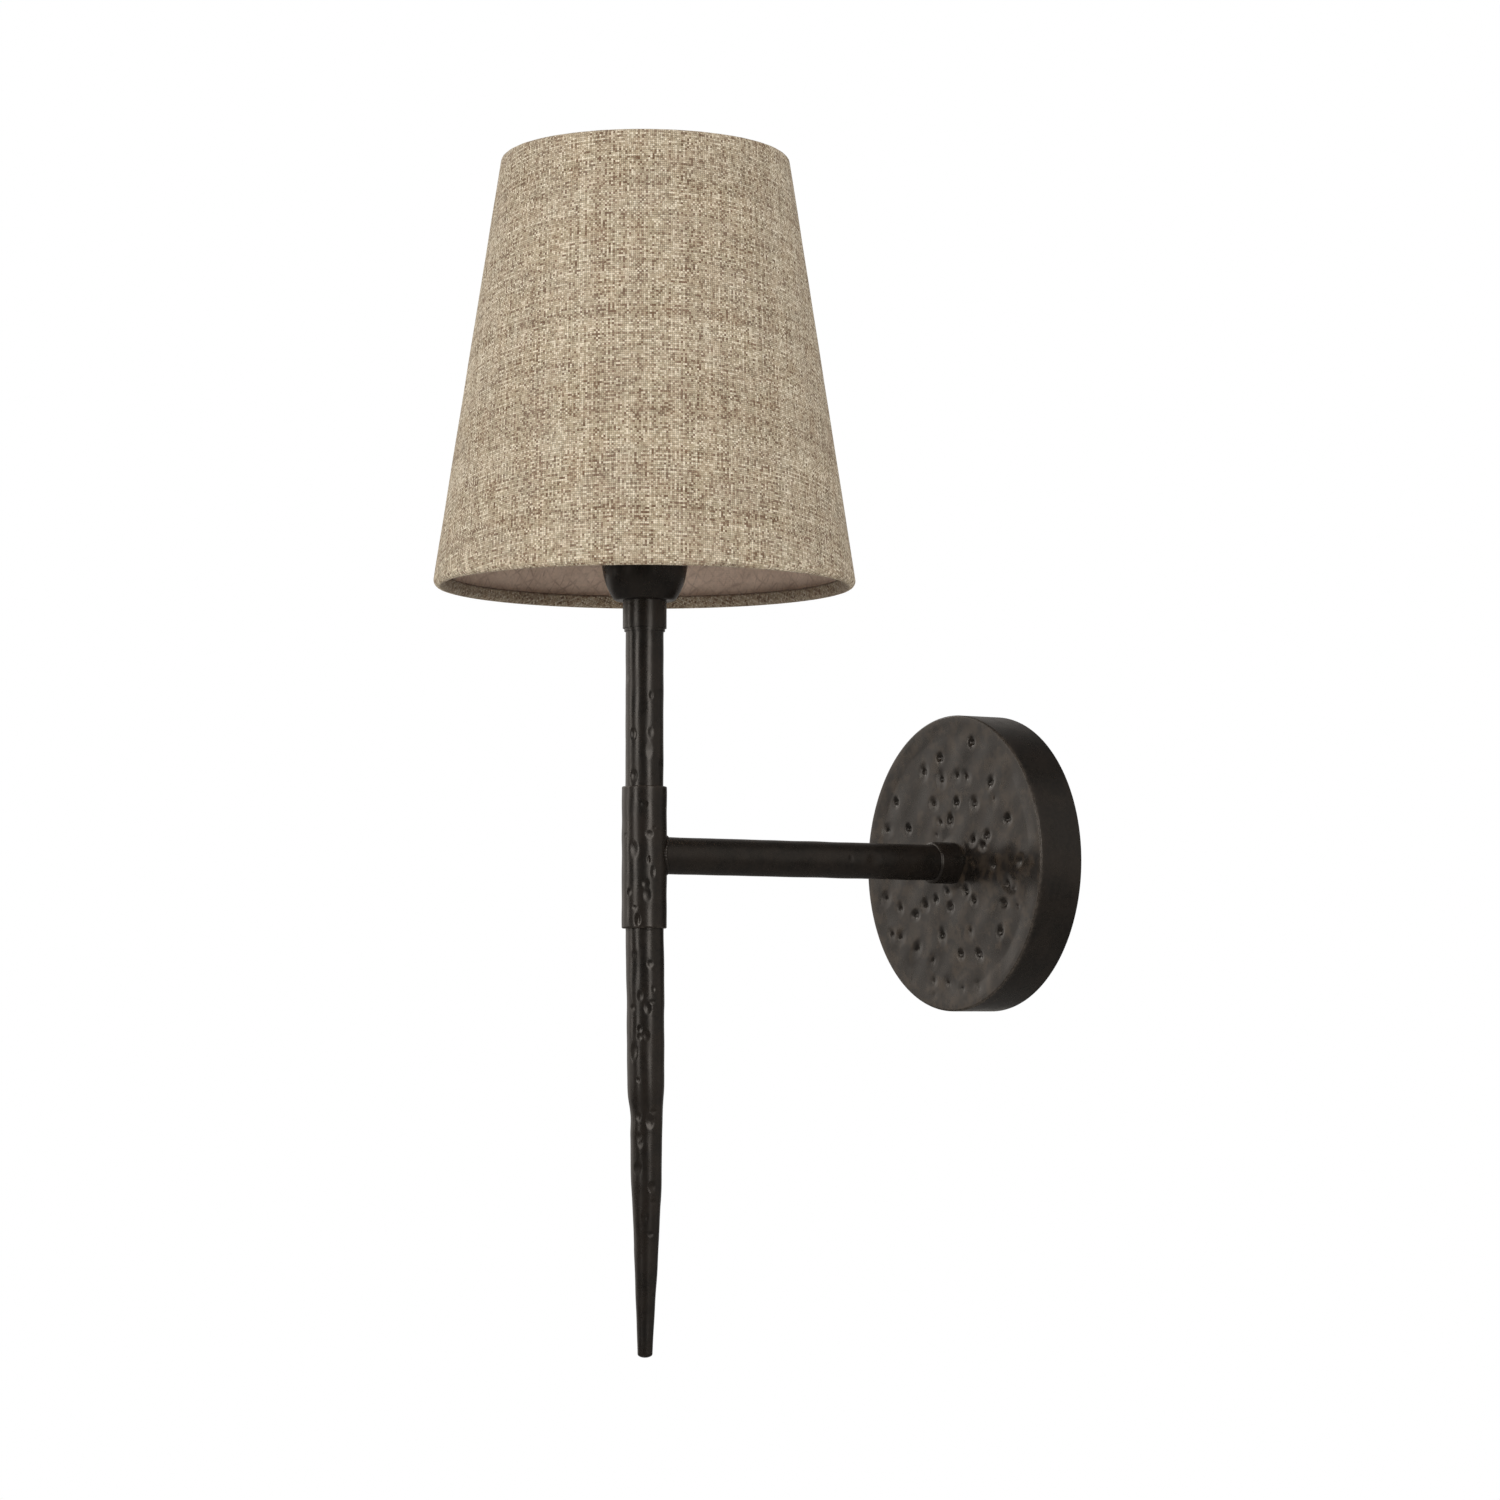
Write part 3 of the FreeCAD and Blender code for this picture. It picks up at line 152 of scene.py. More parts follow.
def quads_over(rows, columns, closed):
    """The four-cornered faces between neighbouring rows, each row being a loop of columns."""
    row = np.arange(rows if closed else rows - 1)[:, None]
    column = np.arange(columns)[None, :]
    below, beside = (row + 1) % rows, (column + 1) % columns
    corners = (row * columns + column, below * columns + column,
               below * columns + beside, row * columns + beside)
    return np.stack(np.broadcast_arrays(*corners), -1)


def turned_outward(points, faces):
    """True if the faces point outwards, which makes the sum of their volumes positive."""
    middle = points.mean(0)
    first, second, third, fourth = (points[faces[:, k]] - middle for k in range(4))
    volume = (first * np.cross(second, third)).sum() + (first * np.cross(third, fourth)).sum()
    return volume > 0


def skin(name, grid, closed=True, flat=None, left_out=None, joined=None, marks=None):
    """A mesh over a grid of points, whose rows are loops round the piece.

    A closed grid joins its last row to its first. An open one ends in a point at each end, in the
    middle of its last loop. flat gives each corner's place on the flat cloth, in metres. left_out
    says which faces a hole takes away, and joined are the faces of the hole's wall.
    """
    rows, columns = grid.shape[:2]
    points = grid.reshape(-1, 3) * MM
    cells = quads_over(rows, columns, closed)
    kept = np.ones(cells.shape[:2], bool) if left_out is None else ~left_out[: len(cells)]
    faces = cells[kept]
    if joined is not None:
        faces = np.concatenate([faces, joined])
    corner_uv = None
    if flat is not None:
        corner_uv = np.stack([flat[:-1, :-1], flat[1:, :-1], flat[1:, 1:], flat[:-1, 1:]], 2)[kept]
    if not turned_outward(points, faces):
        faces = faces[:, ::-1]
        corner_uv = None if corner_uv is None else corner_uv[:, ::-1]
    polygons = faces.tolist()
    if not closed:
        points, fans = with_points(points, rows, columns, flipped=faces[0, 0] != 0)
        polygons += fans
    else:
        used = np.unique(faces)
        place = np.zeros(len(points), int)
        place[used] = np.arange(len(used))
        points, polygons = points[used], place[faces].tolist()
        marks = {label: values.reshape(-1)[used] for label, values in (marks or {}).items()}
    mesh = bpy.data.meshes.new(name)
    mesh.from_pydata(points.tolist(), [], polygons)
    for label, values in (marks or {}).items():
        held = np.zeros(len(points), np.float32)
        held[: values.size] = values.reshape(-1)
        mesh.attributes.new(label, "FLOAT", "POINT").data.foreach_set("value", held)
    if corner_uv is not None:
        layer = mesh.uv_layers.new(name="cloth")
        layer.data.foreach_set("uv", corner_uv.astype(np.float32).ravel())
    mesh.polygons.foreach_set("use_smooth", np.ones(len(polygons), bool))
    mesh.set_sharp_from_angle(angle=math.radians(38))
    mesh.update()
    return placed(name, mesh)


def placed(name, held):
    """An object that holds a mesh, a lamp or a camera, placed in the scene."""
    thing = bpy.data.objects.new(name, held)
    bpy.context.scene.collection.objects.link(thing)
    return thing


def with_points(points, rows, columns, flipped):
    """The points with one more in the middle of each end loop, and the triangles to them."""
    ends = [points[:columns].mean(0), points[-columns:].mean(0)]
    column = np.arange(columns)
    beside = (column + 1) % columns
    start, finish = np.full(columns, rows * columns), np.full(columns, rows * columns + 1)
    first = np.stack([start, column, beside], 1)
    last_row = (rows - 1) * columns
    last = np.stack([finish, last_row + beside, last_row + column], 1)
    fans = np.concatenate([first, last])
    if flipped:
        fans = fans[:, ::-1]
    return np.concatenate([points, ends]), fans.tolist()


def on_staff(angle, radius, height):
    """Points round the staff's axis: x and y turn with the angle, and the height is z."""
    return np.stack([radius * np.cos(angle), radius * np.sin(angle) - STAFF_REACH, height], -1)


def on_arm(angle, radius, reach):
    """Points round the arm's axis: x and z turn with the angle, and -y is the reach."""
    return np.stack([radius * np.cos(angle), -reach, radius * np.sin(angle)], -1)


def section_grid(section, columns):
    """Angle, radius and height of every point when a section of (radius, height) is turned."""
    angle = TURN * np.arange(columns) / columns
    shape = (len(section), columns)
    return (np.broadcast_to(angle, shape).copy(),
            np.broadcast_to(section[:, :1], shape).copy(),
            np.broadcast_to(section[:, 1:], shape).copy())


def rows_in(section, chosen):
    """The rows of a section's chosen points, from low to high."""
    rows = np.flatnonzero(chosen)
    return rows[np.argsort(section[rows, 1])]


def between(way, start, start_fade, end, end_fade):
    """1 between a start and an end, falling to 0 at each over a length inside them."""
    return np.clip((way - start) / start_fade, 0, 1) * np.clip((end - way) / end_fade, 0, 1)


def pierce(angle, radius, height, walls, hole_angle, hole_height, hole_radius,
           half_rows, half_columns):
    """Open a round hole through two walls of a turned section, by moving the grid's own points.

    walls holds the rows of each wall from low to high. A point's place about the hole is counted
    in columns and rows, and the block of that many half columns and rows is taken out. The points
    on the block's edge go to the circle, and those up to twice as far follow it less and less.
    Returns the faces that are taken out and the faces of the hole's own wall.
    """
    rows, columns = angle.shape
    middle = round(hole_angle / TURN * columns) % columns
    column = (np.arange(columns) - middle + columns // 2) % columns - columns // 2
    left_out, rims = np.zeros((rows, columns), bool), []
    for wall in walls:
        centre = int(np.argmin(np.abs(height[wall, 0] - hole_height)))
        step = np.arange(len(wall)) - centre
        across = column[None, :] / half_columns
        up = step[:, None] / half_rows
        ring = np.maximum(np.abs(across), np.abs(up))
        share = np.clip(2 - ring, 0, 1) * (np.abs(across) < 2)
        length = np.maximum(np.hypot(across, up), 1e-9)
        side = radius[wall] * np.sin(angle[wall] - hole_angle)
        rise = height[wall] - hole_height
        new_side = side + share * (hole_radius * ring * across / length - side)
        new_rise = rise + share * (hole_radius * ring * up / length - rise)
        turned = np.arcsin(np.clip(new_side / radius[wall], -1, 1)) + hole_angle
        angle[wall] = np.where(share > 0, turned, angle[wall])
        height[wall] = np.where(share > 0, new_rise + hole_height, height[wall])
        inside = (step >= -half_rows) & (step < half_rows)
        low_row = np.minimum(wall[:-1], wall[1:])[inside[:-1]]
        taken = (column >= -half_columns) & (column < half_columns)
        left_out[np.ix_(low_row, taken)] = True
        rims.append(block_edge(wall, centre, middle, half_rows, half_columns, columns))
    outer, inner = rims
    wall_faces = np.stack([outer, np.roll(outer, -1), np.roll(inner, -1), inner], 1)
    faces = quads_over(rows, columns, True)[~left_out]
    runs_along = (faces == outer[0]) & (np.roll(faces, -1, axis=1) == outer[1])
    return left_out, wall_faces[:, ::-1] if runs_along.any() else wall_faces


def block_edge(wall, centre, middle, half_rows, half_columns, columns):
    """The points round the edge of a block of rows and columns, in order, once round."""
    across = np.arange(-half_columns, half_columns)
    up = np.arange(-half_rows, half_rows)
    step_up = np.concatenate([np.full(across.size, -half_rows), up,
                              np.full(across.size, half_rows), -up])
    step_across = np.concatenate([across, np.full(up.size, half_columns), -across,
                                  np.full(up.size, -half_columns)])
    return wall[centre + step_up] * columns + (middle + step_across) % columns


# ---- hammer marks ----

def waves(angle, along, pitch, rise, seed):
    """Broad soft waves: seeded sines of whole lobes round the bar and of turns along it, added up,
    divided by the root of their count and times the rise."""
    chance = np.random.default_rng(seed)
    total = np.zeros_like(along)
    count = 7
    for _ in range(count):
        lobes, phase = chance.integers(1, 5), chance.uniform(0, TURN)
        length = pitch * chance.uniform(0.6, 1.7)
        total += np.sin(lobes * angle + TURN * along / length + phase)
    return rise * total / math.sqrt(count)


def dent_depth(angle, radius, along, dents):
    """Depth under the untouched skin. Each dent is a bowl, its depth times (1 - q2)^2, where q2 is
    the sum of the squares of the way round the bar in half widths and along it in half heights,
    both widened by the spread."""
    depth = np.zeros_like(along)
    spread = 1.3
    for degrees, place, half_width, half_height, deepest in dents:
        around = (angle - math.radians(degrees) + math.pi) % TURN - math.pi
        way = np.square(around * radius / (spread * half_width))
        way = way + np.square((along - place) / (spread * half_height))
        depth = np.maximum(depth, deepest * np.square(np.clip(1 - way, 0, None)))
    return depth


def more_dents(count, sides, ends, seed):
    """Seeded dents like the listed ones, for the sides of a bar that the list leaves bare."""
    chance = np.random.default_rng(seed)
    return tuple(
        (chance.uniform(*sides), chance.uniform(*ends), chance.uniform(0.8, 1.8),
         chance.uniform(1.0, 2.6), chance.uniform(0.15, 0.4))
        for _ in range(count))


# ---- iron pieces ----

def make_plate():
    """The dished plate. Its section runs over the pitted face, the rounded edge, the rim, the inner
    side and the bore, and is turned about the arm's axis. A pit is a sharp point, a bell of the
    distance, in a shallow bowl (1 - q2)^2, and both push the face towards the wall."""
    face_step, rim_step, columns = 0.55, 0.55, 720
    shoulder = PLATE_RADIUS - PLATE_EDGE
    inner, floor = PLATE_RADIUS - PLATE_WALL, PLATE_DEPTH - PLATE_WALL
    rim_count = 34
    heights = np.linspace(PLATE_DEPTH - PLATE_EDGE, 0, rim_count)
    section = outline(
        runs([(PLATE_BORE, PLATE_DEPTH), (shoulder, PLATE_DEPTH)], face_step),
        arc((shoulder, PLATE_DEPTH - PLATE_EDGE), PLATE_EDGE, 90, 0, 6),
        np.stack([np.full(rim_count, PLATE_RADIUS), heights], 1),
        np.stack([np.full(rim_count, inner), heights[::-1]], 1)[heights[::-1] < floor],
        runs([(inner, floor), (PLATE_BORE, floor)], 6.0),
        runs([(PLATE_BORE, floor), (PLATE_BORE, PLATE_DEPTH)], rim_step)[:-1],
    )
    angle, radius, height = section_grid(section, columns)
    rim_rows = rows_in(section, np.isclose(section[:, 0], PLATE_RADIUS))
    inner_rows = rows_in(section,
                         np.isclose(section[:, 0], inner) & (section[:, 1] < floor - 0.01))
    taken, walls = None, []
    for hole_angle in (TURN / 4, 3 * TURN / 4):
        left_out, joined = pierce(angle, radius, height, (rim_rows, inner_rows), hole_angle,
                                  SCREW_DEPTH, SCREW_HOLE, half_rows=4, half_columns=4)
        taken = left_out if taken is None else taken | left_out
        walls.append(joined)
    across, up = radius * np.cos(angle), radius * np.sin(angle)
    on_face = (section[:, 1] > PLATE_DEPTH - 1e-6) & (section[:, 0] > PLATE_BORE)
    sunk = pit_depth(across[on_face], up[on_face])
    fade = between(radius[on_face], start=8, start_fade=3, end=57.5, end_fade=6)
    height[on_face] -= fade * sunk
    wear = np.exp(-np.hypot(radius - PLATE_RADIUS, height - PLATE_DEPTH) / WEAR_FADE)
    pits = np.zeros_like(radius)
    deep_enough = 0.7
    pits[on_face] = np.clip(sunk / deep_enough, 0, 1)
    return skin("pitted_plate", on_arm(angle, radius, height), left_out=taken,
                joined=np.concatenate(walls), marks={"wear": wear, "sunk": pits})


def pit_depth(across, up):
    """How deep the face is pushed in: its pits, and a broad unevenness that is a sum of seeded
    sines of the way across the face."""
    chance = np.random.default_rng(11)
    depth = np.zeros_like(across)
    bowl_depth, point_depth, share = 0.62, 0.85, {1: 0.38, 2: 0.7, 3: 1.0}
    wave_count, wave_rise = 9, 0.048
    for x, z, strength in PLATE_PITS:
        bowl, point = chance.uniform(3.0, 4.4), chance.uniform(0.7, 1.0)
        lean, stretch = chance.uniform(0, math.pi), chance.uniform(1.0, 1.45)
        side, rise = across - x, up - z
        long_way = side * math.cos(lean) + rise * math.sin(lean)
        short_way = rise * math.cos(lean) - side * math.sin(lean)
        away = np.square(long_way / stretch) + np.square(short_way)
        bowl_part = np.square(np.clip(1 - away / bowl ** 2, 0, None))
        point_part = np.exp(-away / point ** 2)
        depth += share[strength] * (bowl_depth * bowl_part + point_depth * point_part)
    for _ in range(wave_count):
        heading, phase = chance.uniform(0, TURN), chance.uniform(0, TURN)
        length = chance.uniform(12, 30)
        way = across * math.cos(heading) + up * math.sin(heading)
        depth += wave_rise * (1 + np.sin(TURN * way / length + phase))
    return depth


def make_arm():
    """The arm's tube. Its rows run from the plate to a saddle on the sleeve, whose reach at each
    angle is that of a cylinder round the staff, and back along the bore."""
    columns, steps = 144, 270
    angle = np.broadcast_to(TURN * np.arange(columns) / columns, (steps, columns))

    def wall(radius, share):
        """Rows of one wall: the share of the way from the plate to the saddle at that radius."""
        far = STAFF_REACH - np.sqrt(SADDLE_RADIUS ** 2 - np.square(radius * np.cos(angle)))
        return PLATE_DEPTH + share[:, None] * (far - PLATE_DEPTH)

    share = np.linspace(0, 1, steps)
    outside, bore = wall(ARM_RADIUS, share), wall(BAR_BORE, share[::-1])
    dents = ARM_DENTS + more_dents(9, sides=(100, 250), ends=(38, 150), seed=21)
    depth = dent_depth(angle, ARM_RADIUS, outside, dents)
    swell = waves(angle, outside, pitch=22.0, rise=0.055, seed=22)
    marked = between(outside, start=31, start_fade=6, end=158, end_fade=4)
    radius = ARM_RADIUS - marked * (depth + swell)
    grid = np.concatenate([on_arm(angle, radius, outside),
                           on_arm(angle, np.full_like(bore, BAR_BORE), bore)])
    return skin("hammered_arm", grid)


def make_weld():
    """The bead round the arm's end: a round section carried along the seam of arm and sleeve, its
    radius rising and falling in overlapping ripples as it goes round."""
    columns, turns_of_section, ripples = 420, 20, 34
    way = TURN * np.arange(columns) / columns
    thin, ripple_rise, sway, uneven = 0.72, 0.16, 0.06, 0.6
    above_arm, above_sleeve = 0.12, 0.18
    ripple = np.abs(np.sin(ripples * way / 2 + uneven * np.sin(3 * way)))
    bead = thin + ripple_rise * ripple + sway * np.sin(2 * way + 1)
    seam_radius = ARM_RADIUS + above_arm
    across = seam_radius * np.cos(way)
    reach = STAFF_REACH - np.sqrt((SLEEVE_RADIUS + above_sleeve) ** 2 - np.square(across))
    centre = on_arm(way, seam_radius, reach)
    ahead = np.roll(centre, -1, 0) - np.roll(centre, 1, 0)
    ahead /= np.linalg.norm(ahead, axis=1, keepdims=True)
    out = np.stack([np.cos(way), np.zeros_like(way), np.sin(way)], 1)
    out -= (out * ahead).sum(1, keepdims=True) * ahead
    out /= np.linalg.norm(out, axis=1, keepdims=True)
    side = np.cross(ahead, out)
    spin = TURN * np.arange(turns_of_section) / turns_of_section
    grid = (centre[None] + bead[None, :, None]
            * (np.cos(spin)[:, None, None] * out[None] + np.sin(spin)[:, None, None] * side[None]))
    return skin("weld_bead", grid)


def bar_marks(angle, radius, height, skin_rows, dents, pitch, rise, seed):
    """Press the dents and the broad waves into the rows of a turned bar's outer skin."""
    round_way, along = angle[skin_rows], height[skin_rows]
    depth = dent_depth(round_way, radius[skin_rows], along, dents)
    swell = waves(round_way, along, pitch, rise, seed)
    radius[skin_rows] -= depth + swell


def make_sleeve():
    """The sleeve's tube, turned from its section, with a wire hole towards the arm. The outer rows
    carry the dents."""
    step, columns = 0.32, 176
    wall_count = 172
    wall = np.linspace(SLEEVE_TOP - SLEEVE_EDGE, SLEEVE_BOTTOM + SLEEVE_EDGE, wall_count)
    section = outline(
        runs([(SLEEVE_BORE, SLEEVE_TOP), (SLEEVE_RADIUS - SLEEVE_EDGE, SLEEVE_TOP)], step),
        arc((SLEEVE_RADIUS - SLEEVE_EDGE, SLEEVE_TOP - SLEEVE_EDGE), SLEEVE_EDGE, 90, 0, 4),
        np.stack([np.full(wall_count, SLEEVE_RADIUS), wall], 1),
        arc((SLEEVE_RADIUS - SLEEVE_EDGE, SLEEVE_BOTTOM + SLEEVE_EDGE), SLEEVE_EDGE, 0, -90, 4),
        runs([(SLEEVE_RADIUS - SLEEVE_EDGE, SLEEVE_BOTTOM), (SLEEVE_BORE, SLEEVE_BOTTOM)], step),
        np.stack([np.full(wall_count, SLEEVE_BORE), wall[::-1]], 1),
    )
    angle, radius, height = section_grid(section, columns)
    outer_rows = rows_in(section, np.isclose(section[:, 0], SLEEVE_RADIUS))
    inner_rows = rows_in(section, np.isclose(section[:, 0], SLEEVE_BORE)
                         & (section[:, 1] < SLEEVE_TOP) & (section[:, 1] > SLEEVE_BOTTOM))
    left_out, joined = pierce(angle, radius, height, (outer_rows, inner_rows), TURN / 4,
                              0.0, BAR_BORE, half_rows=14, half_columns=16)
    edge = np.minimum(SLEEVE_TOP - height, height - SLEEVE_BOTTOM)
    slight = 0.3
    wear = slight * np.exp(-np.abs(edge) / WEAR_FADE) * (radius > SLEEVE_BORE + 0.3)
    bar_marks(angle, radius, height, outer_rows,
              SLEEVE_DENTS + more_dents(10, sides=(120, 230), ends=(-25, 23), seed=31),
              pitch=14.0, rise=0.045, seed=32)
    return skin("hammered_sleeve", on_staff(angle, radius, height), left_out=left_out,
                joined=joined, marks={"wear": wear})


def make_stem():
    """The stem's tube, turned from its section, the outer rows dented above the sleeve."""
    columns, skin_step, end_step, bore_step, under_collar = 160, 0.34, 1.2, 6.0, 86
    section = outline(
        runs([(STEM_RADIUS, STEM_TOP), (STEM_RADIUS, STEM_BOTTOM)], skin_step),
        runs([(STEM_RADIUS, STEM_BOTTOM), (BAR_BORE, STEM_BOTTOM)], end_step),
        runs([(BAR_BORE, STEM_BOTTOM), (BAR_BORE, STEM_TOP)], bore_step),
        runs([(BAR_BORE, STEM_TOP), (STEM_RADIUS, STEM_TOP)], end_step)[:-1],
    )
    angle, radius, height = section_grid(section, columns)
    outside = np.flatnonzero(np.isclose(section[:, 0], STEM_RADIUS)
                             & (section[:, 1] > SLEEVE_TOP) & (section[:, 1] < under_collar))
    bar_marks(angle, radius, height, outside,
              STEM_DENTS + more_dents(9, sides=(60, 230), ends=(30, 82), seed=41),
              pitch=20.0, rise=0.04, seed=42)
    return skin("hammered_stem", on_staff(angle, radius, height))


def make_spike():
    """The spike: a bar turned from tapering radii, rounded at its tip, dented, and drawn slightly
    off its axis, by a distance read from a table of heights, as hammering leaves it."""
    heights = np.array([-7.0, -30.3, -60.0, -90.0, -97.0, -108.0, -126.0, -191.0])
    radii = np.array([7.35, 7.35, 7.28, 7.1, 6.55, 6.15, 5.85, 2.85])
    columns, steps, tip_length, reach = 144, 500, 1.4, 12
    first_mark, last_mark = -29, -188
    wall = np.linspace(heights[0], heights[-1], steps)
    tip_angle = np.radians(np.linspace(0, 84, 12))
    tip = np.stack([radii[-1] * np.cos(tip_angle),
                    heights[-1] - tip_length * np.sin(tip_angle)], 1)
    weights = np.hanning(2 * reach + 1)
    smooth = np.convolve(np.pad(np.interp(wall, heights[::-1], radii[::-1]), reach, "edge"),
                         weights / weights.sum(), "valid")
    section = outline(
        runs([(1.0, -7.0), (6.9, -7.0)], 1.0),
        np.stack([smooth, wall], 1),
        tip[1:],
    )
    angle, radius, height = section_grid(section, columns)
    outside = np.flatnonzero((section[:, 1] < first_mark) & (section[:, 1] > last_mark))
    bar_marks(angle, radius, height, outside,
              SPIKE_DENTS + more_dents(24, sides=(60, 225), ends=(-180, -34), seed=51),
              pitch=24.0, rise=0.055, seed=52)
    points = on_staff(angle, radius, height)
    to_the_right = np.array([0.544, 0.839, 0.0])
    drawn_at = np.array([7, 31, 45, 60, 80, 100, 115, 135, 150, 170, 192.4])
    drawn_by = np.array([0, 0.2, 0.45, 0.6, 0.65, 0.85, 0.95, 1.08, 1.05, 0.8, 0.6])
    drawn = np.interp(-height, drawn_at, drawn_by)
    points += drawn[..., None] * to_the_right
    return skin("forged_spike", points, closed=False)


# ---- the shade's cloth ----

def slanted(along, across):
    """Radius and height of a place given along the shade's slope and outward from its face."""
    slant = SHADE_SLANT
    radius = SHADE_FOOT_RADIUS - along * math.sin(slant) + across * math.cos(slant)
    height = SHADE_FOOT + along * math.cos(slant) + across * math.sin(slant)
    return np.stack([radius, height], -1)


def make_cloth():
    """One layer of linen. Its section goes up the outer face, rolls over the upper wire, turns in,
    and comes back on the cloth's own inner side, round the lower wire and out again. The flat cut
    is part of a ring: the way along the slope is the distance from the ring's centre, and the angle
    on the cut is the angle round the shade times the sine of the slant."""
    columns, low, high = 560, HEM_ROLL, SHADE_SLOPE - HEM_ROLL
    back, inner = -2 * HEM_ROLL, HEM_ROLL - CLOTH
    top, foot = (high, -HEM_ROLL), (low, -HEM_ROLL)
    section = outline(
        runs([(low, 0), (high, 0)], 2.0),
        arc(top, HEM_ROLL, 90, -90, 12),
        runs([(high, back), (high - HEM_BAND, back)], 1.0),
        runs([(high - HEM_BAND, back + CLOTH), (high, back + CLOTH)], 1.0),
        arc(top, inner, -90, 90, 8),
        runs([(high, -CLOTH), (low, -CLOTH)], 8.0),
        arc(foot, inner, 90, 270, 8),
        runs([(low, back + CLOTH), (low + HEM_BAND, back + CLOTH)], 1.0),
        runs([(low + HEM_BAND, back), (low, back)], 1.0),
        arc(foot, HEM_ROLL, 270, 90, 12)[:-1],
    )
    along, across = section[:, 0], section[:, 1]
    seam, lap_radius, lap_width, lap_rise = math.radians(148), 70, 9.0, 0.35
    angle = seam + TURN * np.arange(columns) / columns
    angle = np.broadcast_to(angle, (len(section), columns))
    lapped = np.clip((angle - seam) * lap_radius / lap_width, 0, 1)
    lap = lap_rise * np.where(lapped < 1, 1 - lapped ** 4, 0.0)
    lumps_round = 9
    lumps = waves(angle * lumps_round, np.broadcast_to(along[:, None], angle.shape),
                  pitch=31.0, rise=0.035, seed=61)
    raised = (across > -0.01)[:, None] * (lap + lumps)
    at_roll = ((along > high) | (along < low))[:, None]
    raised = np.where(at_roll, lumps, raised)
    place = slanted(along[:, None] + 0 * angle, across[:, None] + raised)
    grid = on_staff(angle, place[..., 0], place[..., 1])
    from_cut = np.minimum(np.abs(along - (low + HEM_BAND)), np.abs(along - (high - HEM_BAND)))
    # Painted shade on the turned-in hems: the whole band is darkened, most of all along its cut
    # edge.
    turned_in, everywhere, cut_fade = across < -HEM_ROLL - 0.5, 0.55, 0.6
    at_cut = np.clip(1 - from_cut / cut_fade, 0, 1)
    hem_shade = turned_in * (everywhere + (1 - everywhere) * at_cut)
    hem_shade = np.broadcast_to(hem_shade[:, None], angle.shape)
    return skin("linen_cloth", grid, flat=flat_places(section, columns), marks={"hem_shade": hem_shade})


def flat_places(section, columns):
    """Where each corner lies on the flat cut, in metres, the cut's middle line facing the camera.
    The way on the cut follows the middle of the cloth round both wires."""
    along, across = section[:, 0], section[:, 1]
    low, high = HEM_ROLL, SHADE_SLOPE - HEM_ROLL
    middle = HEM_ROLL - CLOTH / 2
    past_top, past_foot = along - high, along - low
    bend_top = np.arctan2(np.clip(past_top, 0, None), across + HEM_ROLL)
    bend_foot = np.arctan2(np.clip(-past_foot, 0, None), across + HEM_ROLL)
    behind = across < -HEM_ROLL
    upper = along > SHADE_SLOPE / 2
    way = np.clip(along, low, high)
    way = np.where(upper & (past_top > 0), high + middle * bend_top, way)
    way = np.where(~upper & (past_foot < 0), low - middle * bend_foot, way)
    way = np.where(upper & behind & (past_top <= 0), high + middle * math.pi - past_top, way)
    way = np.where(~upper & behind & (past_foot >= 0), low - middle * math.pi - past_foot, way)
    way = np.append(way, way[0])[:, None]
    apex = SHADE_FOOT_RADIUS / math.sin(SHADE_SLANT)
    share = np.linspace(-0.5, 0.5, columns + 1)[None, :]
    turn = share * TURN * math.sin(SHADE_SLANT)
    return np.stack([(apex - way) * np.sin(turn), (apex - way) * np.cos(turn)], -1) * MM


# ---- node helpers ----

def add(tree, kind, inputs=None, **settings):
    """One node with its settings. Each input is a number, a colour or another node's socket."""
    node = tree.nodes.new("ShaderNode" + kind)
    for label, setting in settings.items():
        setattr(node, label, setting)
    for label, source in (inputs or {}).items():
        if isinstance(source, bpy.types.NodeSocket):
            tree.links.new(source, node.inputs[label])
        else:
            node.inputs[label].default_value = source
    return node


def sums(tree, operation, *values):
    """The result of one Math node."""
    return add(tree, "Math", dict(enumerate(values)), operation=operation).outputs[0]


def vector_sums(tree, operation, inputs):
    """The result of one Vector Math node."""
    return add(tree, "VectorMath", inputs, operation=operation).outputs[0]


def span(tree, value, low, high, to_low=0.0, to_high=1.0, smooth=False):
    """A value carried from one span to another and held at both ends."""
    kind = "SMOOTHSTEP" if smooth else "LINEAR"
    inputs = {0: value, 1: low, 2: high, 3: to_low, 4: to_high}
    return add(tree, "MapRange", inputs, interpolation_type=kind).outputs[0]


def blended(tree, share, first, second, how="MIX"):
    """Two colours mixed by a share."""
    inputs = {0: share, 6: first, 7: second}
    return add(tree, "Mix", inputs, data_type="RGBA", blend_type=how).outputs[2]


def new_group(name, inputs, outputs):
    """An empty node group with named sockets, each input being (name, kind, value)."""
    group = bpy.data.node_groups.new(name, "ShaderNodeTree")
    for label, kind, value in inputs:
        socket = group.interface.new_socket(label, in_out="INPUT", socket_type="NodeSocket" + kind)
        if value is not None:
            socket.default_value = value
    for label, kind in outputs:
        group.interface.new_socket(label, in_out="OUTPUT", socket_type="NodeSocket" + kind)
    given = group.nodes.new("NodeGroupInput").outputs
    return group, given, group.nodes.new("NodeGroupOutput").inputs


def use(tree, group, **inputs):
    """A group placed in a material, with its values."""
    node = tree.nodes.new("ShaderNodeGroup")
    node.node_tree = group
    for label, source in inputs.items():
        socket = node.inputs[label.replace("_", " ")]
        if isinstance(source, bpy.types.NodeSocket):
            tree.links.new(source, socket)
        else:
            socket.default_value = source
    return node.outputs


